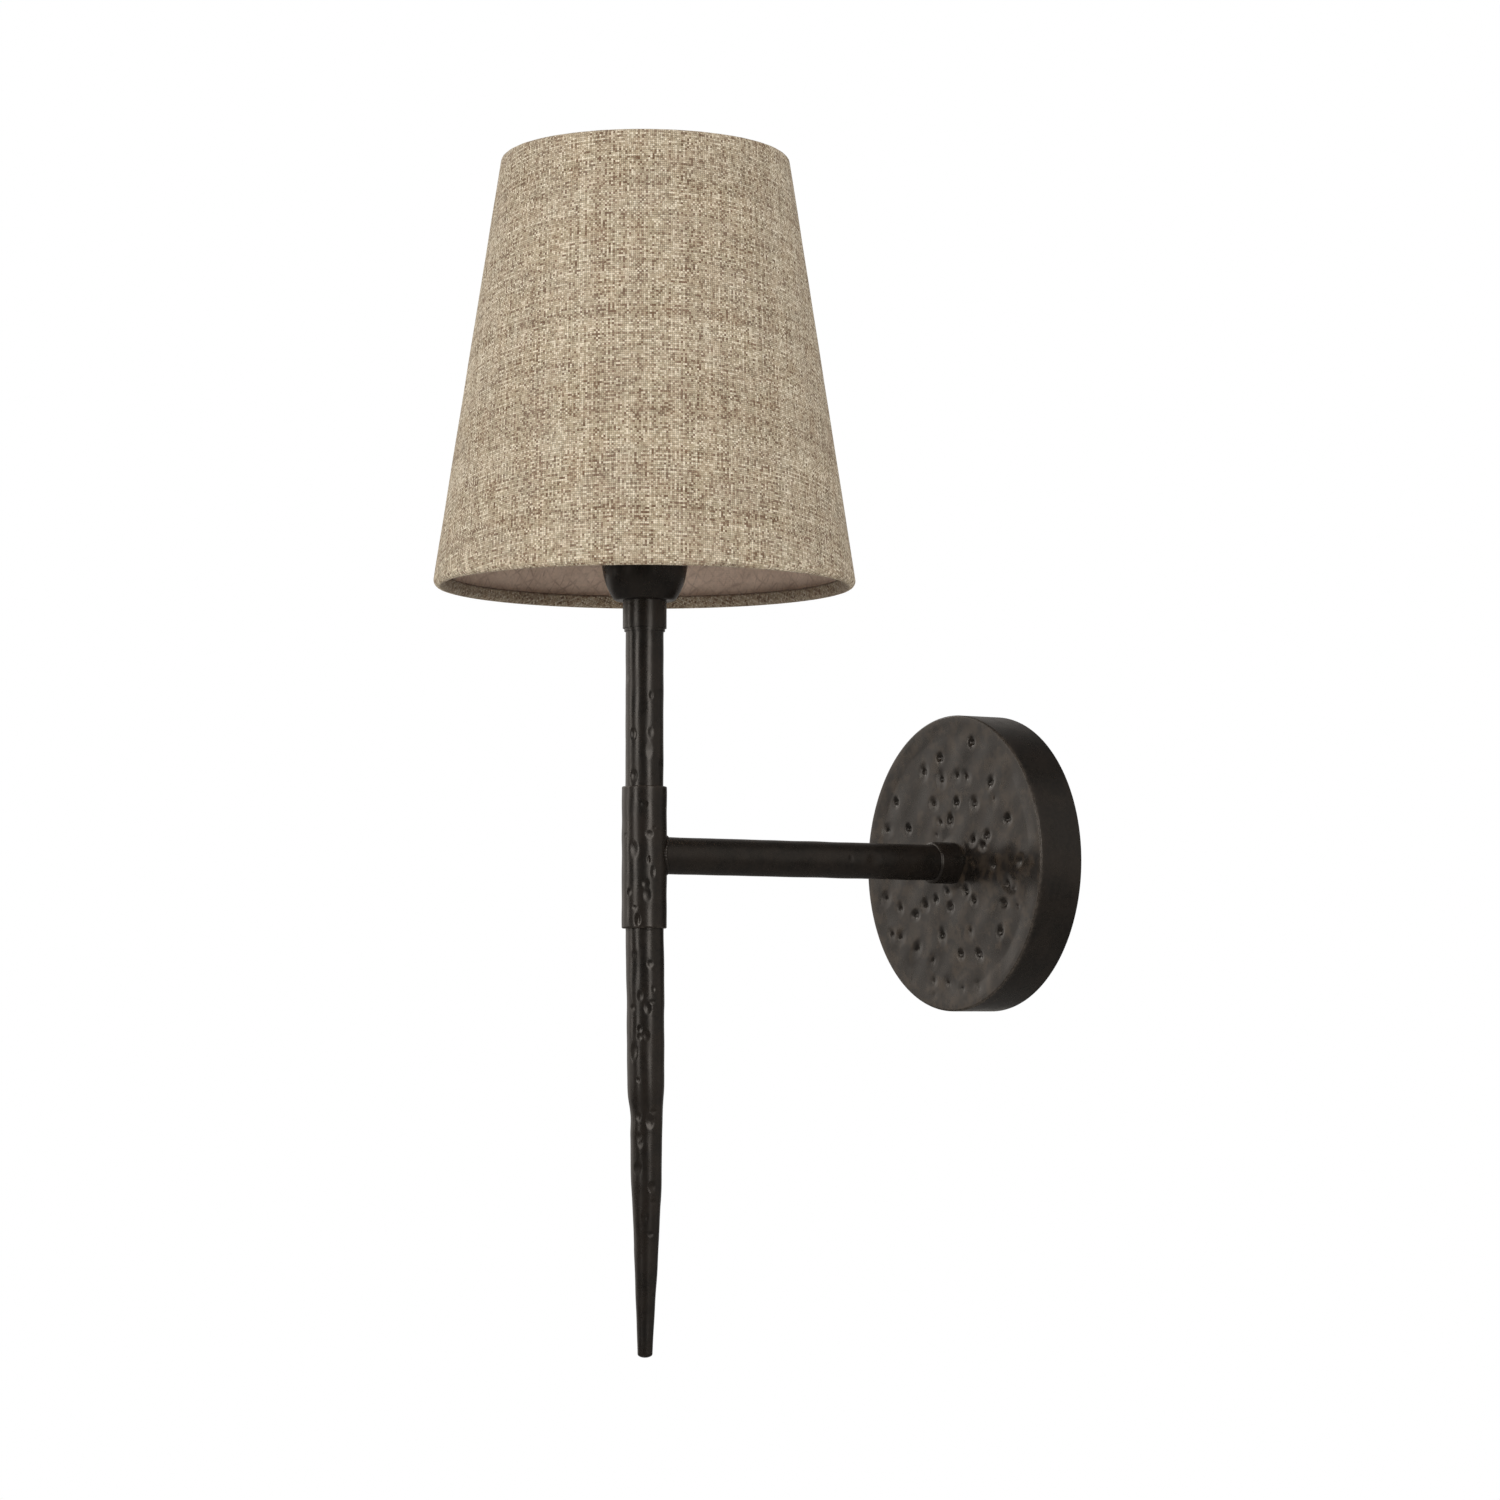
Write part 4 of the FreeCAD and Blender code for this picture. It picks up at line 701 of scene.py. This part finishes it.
def new_finish(name, **constants):
    """A material with the shader's constants set on its own sockets; returns it, its tree and the
    place on the object."""
    material = bpy.data.materials.new(name)
    material.use_nodes = True
    tree = material.node_tree
    shader = tree.nodes["Principled BSDF"]
    for label, value in constants.items():
        shader.inputs[label.replace("_", " ")].default_value = value
    place = tree.nodes.new("ShaderNodeTexCoord").outputs["Object"]
    return material, tree, place


def dress(material, colour, rough, height, depth):
    """Wire a colour and a roughness to a material's shader, and bump its normal by a height from
    0 to 1 that stands for a depth in millimetres. Returns the material."""
    tree = material.node_tree
    shader = tree.nodes["Principled BSDF"]
    bump = add(tree, "Bump", {"Strength": 1.0, "Distance": depth * MM, "Height": height})
    for label, source in (("Base Color", colour), ("Roughness", rough),
                          ("Normal", bump.outputs[0])):
        if source is not None:
            tree.links.new(source, shader.inputs[label])
    return material


def dimmed(tree, colour, level):
    """A colour times a grey level."""
    grey = add(tree, "CombineColor", {0: level, 1: level, 2: level}).outputs[0]
    return blended(tree, 1.0, colour, grey, how="MULTIPLY")


def mottle(tree, place, size, low=0.0, high=1.0):
    """Cloudy unevenness of a size in metres, from low to high."""
    return use(tree, MOTTLE, Vector=place, Size=size, Low=low, High=high)[0]


# ---- effects that several finishes share ----

def group_mottle():
    """Cloudy unevenness: fractal noise of a given size, carried to a low and a high value."""
    group, given, result = new_group(
        "cloudy mottle",
        [("Vector", "Vector", None), ("Size", "Float", 0.004), ("Low", "Float", 0.0),
         ("High", "Float", 1.0)],
        [("Value", "Float")])
    scale = sums(group, "DIVIDE", 1.0, given["Size"])
    noise = add(group, "TexNoise", {"Vector": given["Vector"], "Scale": scale, "Detail": 3.0,
                                    "Roughness": 0.55})
    value = span(group, noise.outputs[0], 0.32, 0.68, given["Low"], given["High"], smooth=True)
    group.links.new(value, result["Value"])
    return group


def group_grain():
    """Coat grain: the mean of a fine noise and one three times coarser."""
    group, given, result = new_group(
        "coat grain", [("Vector", "Vector", None), ("Size", "Float", 0.0006)],
        [("Height", "Float")])
    scale = sums(group, "DIVIDE", 1.0, given["Size"])
    fine = add(group, "TexNoise", {"Vector": given["Vector"], "Scale": scale, "Detail": 2.0})
    coarse = add(group, "TexNoise", {"Vector": given["Vector"],
                                     "Scale": sums(group, "DIVIDE", scale, 3.0), "Detail": 1.0})
    both = sums(group, "ADD", fine.outputs[0], coarse.outputs[0])
    group.links.new(sums(group, "MULTIPLY", both, 0.5), result["Height"])
    return group


def group_scratches():
    """Fine scratches: noise stretched thirty times along one axis, and only its crests kept."""
    group, given, result = new_group(
        "fine scratches", [("Vector", "Vector", None), ("Amount", "Float", 0.5)],
        [("Mask", "Float")])
    per_metre = (3200.0, 3200.0, 110.0)
    stretched = vector_sums(group, "MULTIPLY", {0: given["Vector"], 1: per_metre})
    noise = add(group, "TexNoise", {"Vector": stretched, "Scale": 1.0, "Detail": 2.0})
    crest = span(group, noise.outputs[0], 0.58, 0.72)
    group.links.new(sums(group, "MULTIPLY", crest, given["Amount"]), result["Mask"])
    return group


def group_weave():
    """Plain weave. The cloth is cut into square cells of one thread each way, and the warp is on
    top in every other cell. A thread's height is the root of 1 - a2, where a is the way across it
    in half thicknesses, times a rise and fall along it where it goes over the other threads. Each
    thread's tone is the sum of its own tone, a streaky noise along it that also thickens and thins
    it, and most of all a tone of each crossing's own."""
    group, given, result = new_group(
        "plain weave",
        [("Vector", "Vector", None), ("Pitch", "Float", 0.00078), ("Waver", "Float", 0.0006),
         ("Slub", "Float", 0.15)],
        [("Height", "Float"), ("Tone", "Float"), ("Warp", "Float")])
    drift = add(group, "TexNoise", {"Vector": given["Vector"], "Scale": 85.0, "Detail": 2.0})
    centred = vector_sums(group, "SUBTRACT", {0: drift.outputs[1], 1: (0.5, 0.5, 0.5)})
    shift = vector_sums(group, "SCALE", {0: centred, "Scale": given["Waver"]})
    moved = vector_sums(group, "ADD", {0: given["Vector"], 1: shift})
    per_metre = sums(group, "DIVIDE", 1.0, given["Pitch"])
    counted = vector_sums(group, "SCALE", {0: moved, "Scale": per_metre})
    cell, part = (add(group, "SeparateXYZ", {0: vector_sums(group, how, {0: counted})}).outputs
                  for how in ("FLOOR", "FRACTION"))
    count = add(group, "SeparateXYZ", {0: counted}).outputs
    both = sums(group, "ADD", cell[0], cell[1])
    warp_up = sums(group, "FLOORED_MODULO", both, 2.0)
    crossing = add(group, "CombineXYZ", {0: cell[0], 1: cell[1]}).outputs[0]
    bead = add(group, "TexWhiteNoise", {"Vector": crossing}, noise_dimensions="2D").outputs[0]
    crossing_share, own_share, streak_share, apart = 0.48, 0.36, 0.13, 3.71
    heights, tones = [], []
    for thread, along, seed in ((0, 1, 0.0), (1, 0, 311.5)):
        spread = sums(group, "MULTIPLY", cell[thread], apart)
        run = sums(group, "MULTIPLY", count[along], given["Slub"])
        streak_at = add(group, "CombineXYZ", {0: spread, 1: run, 2: seed})
        streak = add(group, "TexNoise", {"Vector": streak_at.outputs[0], "Scale": 1.0,
                                         "Detail": 3.0, "Roughness": 0.6}).outputs[0]
        own = add(group, "TexWhiteNoise", {"W": sums(group, "ADD", cell[thread], seed)},
                  noise_dimensions="1D").outputs[0]
        thickness = span(group, streak, 0.3, 0.7, 0.78, 1.15)
        way = sums(group, "ABSOLUTE", sums(group, "MULTIPLY_ADD", part[thread], 2.0, -1.0))
        square = sums(group, "POWER", sums(group, "DIVIDE", way, thickness), 2.0)
        left = sums(group, "MAXIMUM", sums(group, "SUBTRACT", 1.0, square), 0.0)
        round_top = sums(group, "SQRT", left)
        over = sums(group, "SINE", sums(group, "MULTIPLY", part[along], math.pi))
        rise = sums(group, "MULTIPLY_ADD", over, 0.5, 0.5)
        heights.append(sums(group, "MULTIPLY", round_top, rise))
        wide_streak = span(group, streak, 0.28, 0.72)
        thread_tone = sums(group, "ADD", sums(group, "MULTIPLY", own, own_share),
                           sums(group, "MULTIPLY", wide_streak, streak_share))
        tones.append(sums(group, "MULTIPLY_ADD", bead, crossing_share, thread_tone))
    for label, (warp, weft) in (("Height", heights), ("Tone", tones)):
        top = add(group, "Mix", {0: warp_up, 2: weft, 3: warp}, data_type="FLOAT").outputs[0]
        group.links.new(top, result[label])
    group.links.new(warp_up, result["Warp"])
    return group


MOTTLE = group_mottle()
GRAIN = group_grain()
SCRATCHES = group_scratches()
WEAVE = group_weave()


# ---- finishes ----

def iron_finish():
    """Blackened iron under a satin coat: brownish black in cloudy patches with paler flecks, rubbed
    lighter and smoother at worn edges, browner and paler round the pits, partly the iron's colour
    and partly a painted sheen, and a fine grain."""
    material, tree, place = new_finish("blackened_iron", Specular_Tint=(1.0, 0.93, 0.86, 1.0))
    black, brown_black = (0.0062, 0.0054, 0.0048, 1), (0.0130, 0.0098, 0.0078, 1)
    pale_fleck, bare = (0.019, 0.015, 0.012, 1), (0.11, 0.09, 0.074, 1)
    brown_and_sheen = (0.044, 0.032, 0.022, 1)
    fleck_share, smoother = 0.35, -0.08
    flecks = mottle(tree, place, 0.0016)
    colour = blended(tree, mottle(tree, place, 0.011), black, brown_black)
    colour = blended(tree, sums(tree, "MULTIPLY", flecks, fleck_share), colour, pale_fleck)
    worn = add(tree, "Attribute", attribute_name="wear").outputs["Fac"]
    rubbed = sums(tree, "MULTIPLY", worn, span(tree, flecks, 0.2, 0.8, 0.45, 0.85))
    colour = blended(tree, rubbed, colour, bare)
    sunk = add(tree, "Attribute", attribute_name="sunk").outputs["Fac"]
    # Painted sheen round the pits, partly a browner iron: patchy paler brown on the pits' sloping
    # sides.
    round_pit = sums(tree, "MULTIPLY", span(tree, sunk, 0.15, 0.5),
                     span(tree, sunk, 0.6, 0.95, 1.0, 0.2))
    patchy = sums(tree, "MAXIMUM", mottle(tree, place, 0.0055, -0.5, 0.85), 0.0)
    colour = blended(tree, sums(tree, "MULTIPLY", round_pit, patchy), colour, brown_and_sheen)
    rough = sums(tree, "MULTIPLY_ADD", worn, smoother, mottle(tree, place, 0.006, 0.25, 0.33))
    return dress(material, colour, rough, use(tree, GRAIN, Vector=place, Size=0.0018)[0], 0.006)


def plated_finish(name, dull, bright, low, high, scratched):
    """Plated or drawn metal: two tones in cloudy patches, and fine scratches that shine less."""
    material, tree, place = new_finish(name, Metallic=1.0)
    patches = mottle(tree, place, 0.003)
    lines = use(tree, SCRATCHES, Vector=place, Amount=scratched)[0]
    colour = blended(tree, patches, dull, bright)
    colour = blended(tree, lines, colour, tuple(0.7 * c for c in dull[:3]) + (1,))
    smoother = mottle(tree, place, 0.0015, low, high)
    rough = sums(tree, "MULTIPLY_ADD", lines, 0.2, smoother)
    return dress(material, colour, rough, use(tree, GRAIN, Vector=place, Size=0.0005)[0], 0.006)


def moulded_finish(name, dark, light, low, high, grain=0.0005, depth=0.01, **constants):
    """Moulded, fired or sprayed stuff: two near tones in patches, and a grain."""
    material, tree, place = new_finish(name, **constants)
    patches = mottle(tree, place, 0.004)
    colour = blended(tree, patches, dark, light)
    rough = mottle(tree, place, 0.002, low, high)
    return dress(material, colour, rough, use(tree, GRAIN, Vector=place, Size=grain)[0], depth)


def earth_finish():
    """Green insulation with a yellow stripe down each side of the lead, told by the lead's x."""
    material = moulded_finish("green_yellow_sleeving", (0.03, 0.2, 0.035, 1),
                              (0.04, 0.25, 0.045, 1), 0.36, 0.46)
    tree = material.node_tree
    shader = tree.nodes["Principled BSDF"]
    green = shader.inputs["Base Color"].links[0].from_socket
    place = next(n for n in tree.nodes if n.bl_idname == "ShaderNodeTexCoord").outputs["Object"]
    side = sums(tree, "ABSOLUTE", add(tree, "SeparateXYZ", {0: place}).outputs[0])
    stripe = span(tree, side, 0.50 * MM, 0.56 * MM)
    tree.links.new(blended(tree, stripe, green, (0.72, 0.56, 0.03, 1)), shader.inputs["Base Color"])
    return material


def glass_finish():
    """Clear thin glass with faint drawn streaks in its surface."""
    material, tree, place = new_finish(
        "clear_glass", Transmission_Weight=1.0, IOR=1.47, Base_Color=(0.985, 0.99, 0.985, 1))
    rough = mottle(tree, place, 0.012, 0.0, 0.025)
    return dress(material, None, rough, mottle(tree, place, 0.009), 0.01)


def linen_finish():
    """Natural linen: the weave's tone picks dark, middle or pale flax, under greyish and pinkish
    clouds, with painted shade in the gaps between the threads and on the turned-in hems."""
    material, tree, _ = new_finish("natural_linen", Sheen_Weight=0.06, Sheen_Roughness=0.45,
                                   Specular_IOR_Level=0.2)
    dark, middle, pale = (0.18, 0.106, 0.061, 1), (0.50, 0.415, 0.287, 1), (0.88, 0.78, 0.61, 1)
    grey, pink, hem_shade_colour = (0.50, 0.45, 0.385, 1), (0.55, 0.385, 0.265, 1), (0.075, 0.045, 0.027, 1)
    grey_share, pink_share, gap_shade_level, thread_depth = 0.15, 0.20, 0.30, 0.22
    flat = add(tree, "UVMap", uv_map="cloth").outputs[0]
    weave = use(tree, WEAVE, Vector=flat)
    tone = sums(tree, "ADD", weave["Tone"], mottle(tree, flat, 0.012, -0.025, 0.025))
    colour = blended(tree, span(tree, tone, 0.20, 0.44), dark, middle)
    colour = blended(tree, span(tree, tone, 0.52, 0.80), colour, pale)
    for size, share, cloud in ((0.016, grey_share, grey), (0.0075, pink_share, pink)):
        clouded = sums(tree, "MULTIPLY", mottle(tree, flat, size), share)
        colour = blended(tree, clouded, colour, cloud)
    # Painted shade in the gaps between the threads: the colour is darker where the weave lies
    # lower.
    colour = dimmed(tree, colour, span(tree, weave["Height"], 0.0, 0.55, gap_shade_level, 1.0))
    # Painted shade: the turned-in hems darkened, darkest along their cut edge.
    hem_shade = add(tree, "Attribute", attribute_name="hem_shade").outputs["Fac"]
    colour = blended(tree, hem_shade, colour, hem_shade_colour)
    rough = span(tree, weave["Tone"], 0.0, 1.0, 0.92, 0.78)
    return dress(material, colour, rough, weave["Height"], thread_depth)


def backing_finish():
    """The stiff backing inside: pinkish grey, the linen showing faintly through it, and long soft
    crossing lines. The place on it is the way round the shade in metres, and the height."""
    material, tree, place = new_finish("shade_backing", Specular_IOR_Level=0.35)
    mean_radius, line_gap, line_share = 0.069, 0.0074, 0.5
    pinkish, pale = (0.60, 0.465, 0.375, 1), (0.68, 0.54, 0.44, 1)
    line_tone = (0.26, 0.17, 0.135, 1)
    parts = add(tree, "SeparateXYZ", {0: place})
    depth = sums(tree, "ADD", parts.outputs[1], STAFF_REACH * MM)
    around = sums(tree, "MULTIPLY", sums(tree, "ARCTAN2", depth, parts.outputs[0]), mean_radius)
    flat = add(tree, "CombineXYZ", {0: around, 1: parts.outputs[2], 2: 0.0}).outputs[0]
    weave = use(tree, WEAVE, Vector=flat, Waver=0.0012)
    colour = blended(tree, mottle(tree, flat, 0.008), pinkish, pale)
    shade = span(tree, weave["Tone"], 0.1, 0.9, -0.09, 0.09)
    lines = None
    for slope, lift in ((0.75, 0.0), (-1.25, 0.37), (2.6, 0.18)):
        way = sums(tree, "ADD", sums(tree, "MULTIPLY", around, slope), parts.outputs[2])
        bent = sums(tree, "ADD", sums(tree, "DIVIDE", way, line_gap),
                    mottle(tree, flat, 0.03, -0.35, 0.35))
        saw = sums(tree, "PINGPONG", sums(tree, "ADD", bent, lift), 0.5)
        line = span(tree, saw, 0.0, 0.13, 1.0, 0.0, smooth=True)
        lines = line if lines is None else sums(tree, "MAXIMUM", lines, line)
    broken = sums(tree, "MULTIPLY", lines, mottle(tree, flat, 0.005))
    colour = blended(tree, sums(tree, "MULTIPLY", broken, line_share), colour, line_tone)
    colour = dimmed(tree, colour, sums(tree, "ADD", 1.0, shade))
    rough = mottle(tree, flat, 0.004, 0.55, 0.7)
    return dress(material, colour, rough, weave["Height"], 0.05)


# Plated metals: name, dull tone, bright tone, lowest and highest roughness, and how scratched.
PLATED = {
    "zinc_steel": ("zinc_plate", (0.50, 0.52, 0.53, 1), (0.66, 0.66, 0.62, 1), 0.30, 0.42, 0.35),
    "brass": ("drawn_brass", (0.60, 0.41, 0.16, 1), (0.74, 0.55, 0.26, 1), 0.26, 0.38, 0.4),
    "bulb_metal": ("nickelled_cap", (0.62, 0.61, 0.58, 1), (0.74, 0.73, 0.70, 1),
                   0.20, 0.30, 0.25),
}
# Moulded stuff: name, dark tone, light tone, and lowest and highest roughness.
MOULDED = {
    "holder_plastic": ("black_moulding", (0.013, 0.012, 0.0115, 1), (0.019, 0.0175, 0.0165, 1),
                       0.36, 0.48),
    "white_plastic": ("white_moulding", (0.66, 0.65, 0.60, 1), (0.73, 0.72, 0.68, 1), 0.34, 0.44),
    "core_ceramic": ("glazed_ceramic", (0.70, 0.68, 0.62, 1), (0.77, 0.75, 0.70, 1), 0.18, 0.30),
    "brown_insulation": ("brown_sleeving", (0.085, 0.035, 0.016, 1), (0.11, 0.048, 0.022, 1),
                         0.36, 0.46),
    "blue_insulation": ("blue_sleeving", (0.02, 0.075, 0.26, 1), (0.028, 0.10, 0.33, 1),
                        0.36, 0.46),
    "white_wire": ("sprayed_wire", (0.68, 0.66, 0.61, 1), (0.76, 0.745, 0.70, 1), 0.38, 0.50),
    "bulb_black": ("black_glass", (0.010, 0.010, 0.012, 1), (0.016, 0.016, 0.018, 1), 0.10, 0.2),
    "phosphor": ("yellow_coating", (0.72, 0.42, 0.06, 1), (0.84, 0.56, 0.12, 1), 0.55, 0.7),
}
MOULDED_MORE = {
    "core_ceramic": {"Coat_Weight": 0.4},
    "white_wire": {"grain": 0.0004, "depth": 0.02},
    "phosphor": {"grain": 0.0003, "depth": 0.03},
}


def all_finishes():
    """One finish for each material slot of the construction model."""
    made = {"black_iron": iron_finish(), "green_insulation": earth_finish(),
            "bulb_glass": glass_finish(), "linen": linen_finish(), "backing": backing_finish()}
    made |= {slot: plated_finish(*look) for slot, look in PLATED.items()}
    made |= {slot: moulded_finish(*look, **MOULDED_MORE.get(slot, {}))
             for slot, look in MOULDED.items()}
    return made


# ---- camera, light and floor ----

def set_camera():
    """The eye stands low, in front and to the right, and looks slightly up, at a long lens."""
    lens = bpy.data.cameras.new("eye")
    lens.lens, lens.sensor_width = 96.76, 36.0
    eye = placed("eye", lens)
    turn = Euler((math.radians(93.848), 0.0, math.radians(57.05)))
    eye.matrix_world = Matrix.LocRotScale(Vector((1.326863, -0.977428, -0.063930)), turn, None)
    bpy.context.scene.camera = eye


def facing(tree, way, heading):
    """How nearly the way runs along a heading: the cosine of the angle between them."""
    inputs = {0: way, 1: Vector(heading).normalized()}
    return add(tree, "VectorMath", inputs, operation="DOT_PRODUCT").outputs["Value"]


def set_surroundings():
    """White behind the object, an even light for its colours that is stronger from above, and for
    its shine a warm studio: a bright patch on the camera's left, a dim one on its right, both
    fading out below, and a faint one beyond the object."""
    world = bpy.data.worlds.new("studio")
    bpy.context.scene.world = world
    world.use_nodes = True
    tree = world.node_tree
    tree.nodes.clear()
    rays = add(tree, "LightPath").outputs
    way = add(tree, "TexCoord").outputs["Generated"]
    left, right, beyond = (-0.878, -0.391, 0.276), (0.77, 0.63, 0.1), (-0.85, 0.52, 0.0)
    bright = span(tree, facing(tree, way, left), 0.80, 0.985, 0.07, 0.98, smooth=True)
    dim = span(tree, facing(tree, way, right), 0.55, 0.95, 0.0, 0.30, smooth=True)
    faint = span(tree, facing(tree, way, beyond), 0.45, 0.95, 0.0, 0.24, smooth=True)
    up = add(tree, "SeparateXYZ", {0: way}).outputs[2]
    rise = span(tree, up, -0.6, 0.1, 0.2, 1.0)
    glow = sums(tree, "MULTIPLY_ADD", sums(tree, "ADD", bright, dim), rise, faint)
    shine = add(tree, "Background", {"Color": (1.0, 0.94, 0.88, 1), "Strength": glow})
    fill = span(tree, up, -0.8, 0.8, 0.46, 0.70)
    even = add(tree, "Background", {"Color": (1.0, 0.985, 0.965, 1), "Strength": fill})
    behind = add(tree, "Background", {"Color": (1, 1, 1, 1), "Strength": 1.0})
    lit = add(tree, "MixShader", {0: rays["Is Glossy Ray"], 1: even.outputs[0],
                                  2: shine.outputs[0]})
    through = sums(tree, "MAXIMUM", rays["Is Camera Ray"], rays["Is Transmission Ray"])
    seen = add(tree, "MixShader", {0: through, 1: lit.outputs[0], 2: behind.outputs[0]})
    add(tree, "OutputWorld", {0: seen.outputs[0]})


def soft_lamp(name, heading, height, width, tall, power, colour):
    """A soft lamp at a heading counted from +X round the staff, turned to face the object."""
    lamp = bpy.data.lights.new(name, "AREA")
    lamp.shape, lamp.size, lamp.size_y = "RECTANGLE", width, tall
    lamp.energy, lamp.color = power, colour
    holder = placed(name, lamp)
    angle = math.radians(heading)
    aim = Vector((0.0, -0.12, 0.03))
    distance, staff = 1.6, STAFF_REACH * MM
    place = Vector((distance * math.cos(angle), distance * math.sin(angle) - staff, height))
    turn = (aim - place).to_track_quat("-Z", "Y")
    holder.matrix_world = Matrix.LocRotScale(place, turn, None)
    holder.visible_camera = False


def make_floor():
    """A round pale floor below the object. A grid of rings carries it. Seen from above it turns to
    plain white towards its edge, and from below it isn't there."""
    rings, columns, drop = 24, 96, -0.8
    radius = np.linspace(0.01, 2.2, rings)[:, None]
    angle = TURN * np.arange(columns)[None, :] / columns
    grid = np.stack([radius * np.cos(angle), radius * np.sin(angle) - 0.11,
                     np.full((rings, columns), drop)], -1)
    mesh = bpy.data.meshes.new("floor")
    faces = quads_over(rings, columns, False).reshape(-1, 4)
    mesh.from_pydata(grid.reshape(-1, 3).tolist(), [], faces.tolist() + [list(range(columns))])
    material = bpy.data.materials.new("pale_floor")
    material.use_nodes = True
    tree = material.node_tree
    tree.nodes.clear()
    place = add(tree, "TexCoord").outputs["Object"]
    away = add(tree, "VectorMath", {0: place, 1: (0.0, -0.11, drop)}, operation="DISTANCE")
    edge = span(tree, away.outputs["Value"], 0.35, 1.5, 0.35, 1.0, smooth=True)
    rays = add(tree, "LightPath").outputs
    tint = blended(tree, rays["Is Glossy Ray"], (0.82, 0.815, 0.80, 1), (0.16, 0.155, 0.15, 1))
    matt = add(tree, "BsdfDiffuse", {"Color": tint})
    white = add(tree, "Emission", {"Color": (1, 1, 1, 1), "Strength": 1.0})
    gone = add(tree, "BsdfTransparent")
    faded = add(tree, "MixShader", {0: sums(tree, "MULTIPLY", edge, rays["Is Camera Ray"]),
                                    1: matt.outputs[0], 2: white.outputs[0]})
    under = sums(tree, "MULTIPLY", add(tree, "NewGeometry").outputs["Backfacing"],
                 rays["Is Camera Ray"])
    shown = add(tree, "MixShader", {0: under, 1: faded.outputs[0], 2: gone.outputs[0]})
    add(tree, "OutputMaterial", {0: shown.outputs[0]})
    mesh.materials.append(material)
    floor = placed("floor", mesh)


# ---- the whole scene ----

set_camera()
set_surroundings()
warm, neutral = (1.0, 0.965, 0.92), (1.0, 0.985, 0.965)
soft_lamp("far_left_softbox", -124, 0.5, 0.34, 1.3, 4.2, warm)
soft_lamp("high_left_softbox", -168, 0.95, 0.34, 0.34, 1.4, warm)
soft_lamp("left_softbox", -78, 0.5, 0.44, 1.3, 7.8, neutral)
soft_lamp("right_softbox", -3, 0.5, 0.50, 1.3, 8.6, neutral)
make_floor()
bpy.context.scene.view_settings.view_transform = "Standard"

finishes = all_finishes()
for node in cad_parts.values():
    for held in node.material_slots:
        held.material = finishes[held.material.name]

for piece, node in ((make_plate(), "backplate"), (make_arm(), "arm"), (make_sleeve(), "sleeve"),
                    (make_stem(), "stem"), (make_spike(), "spike"), (make_weld(), None)):
    piece.data.materials.append(finishes["black_iron"])
    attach(piece, "wall_frame")
    if node:
        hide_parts(node)

cloth = make_cloth()
cloth.data.materials.append(finishes["linen"])
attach(cloth, "shade")
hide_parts("shade_fabric")
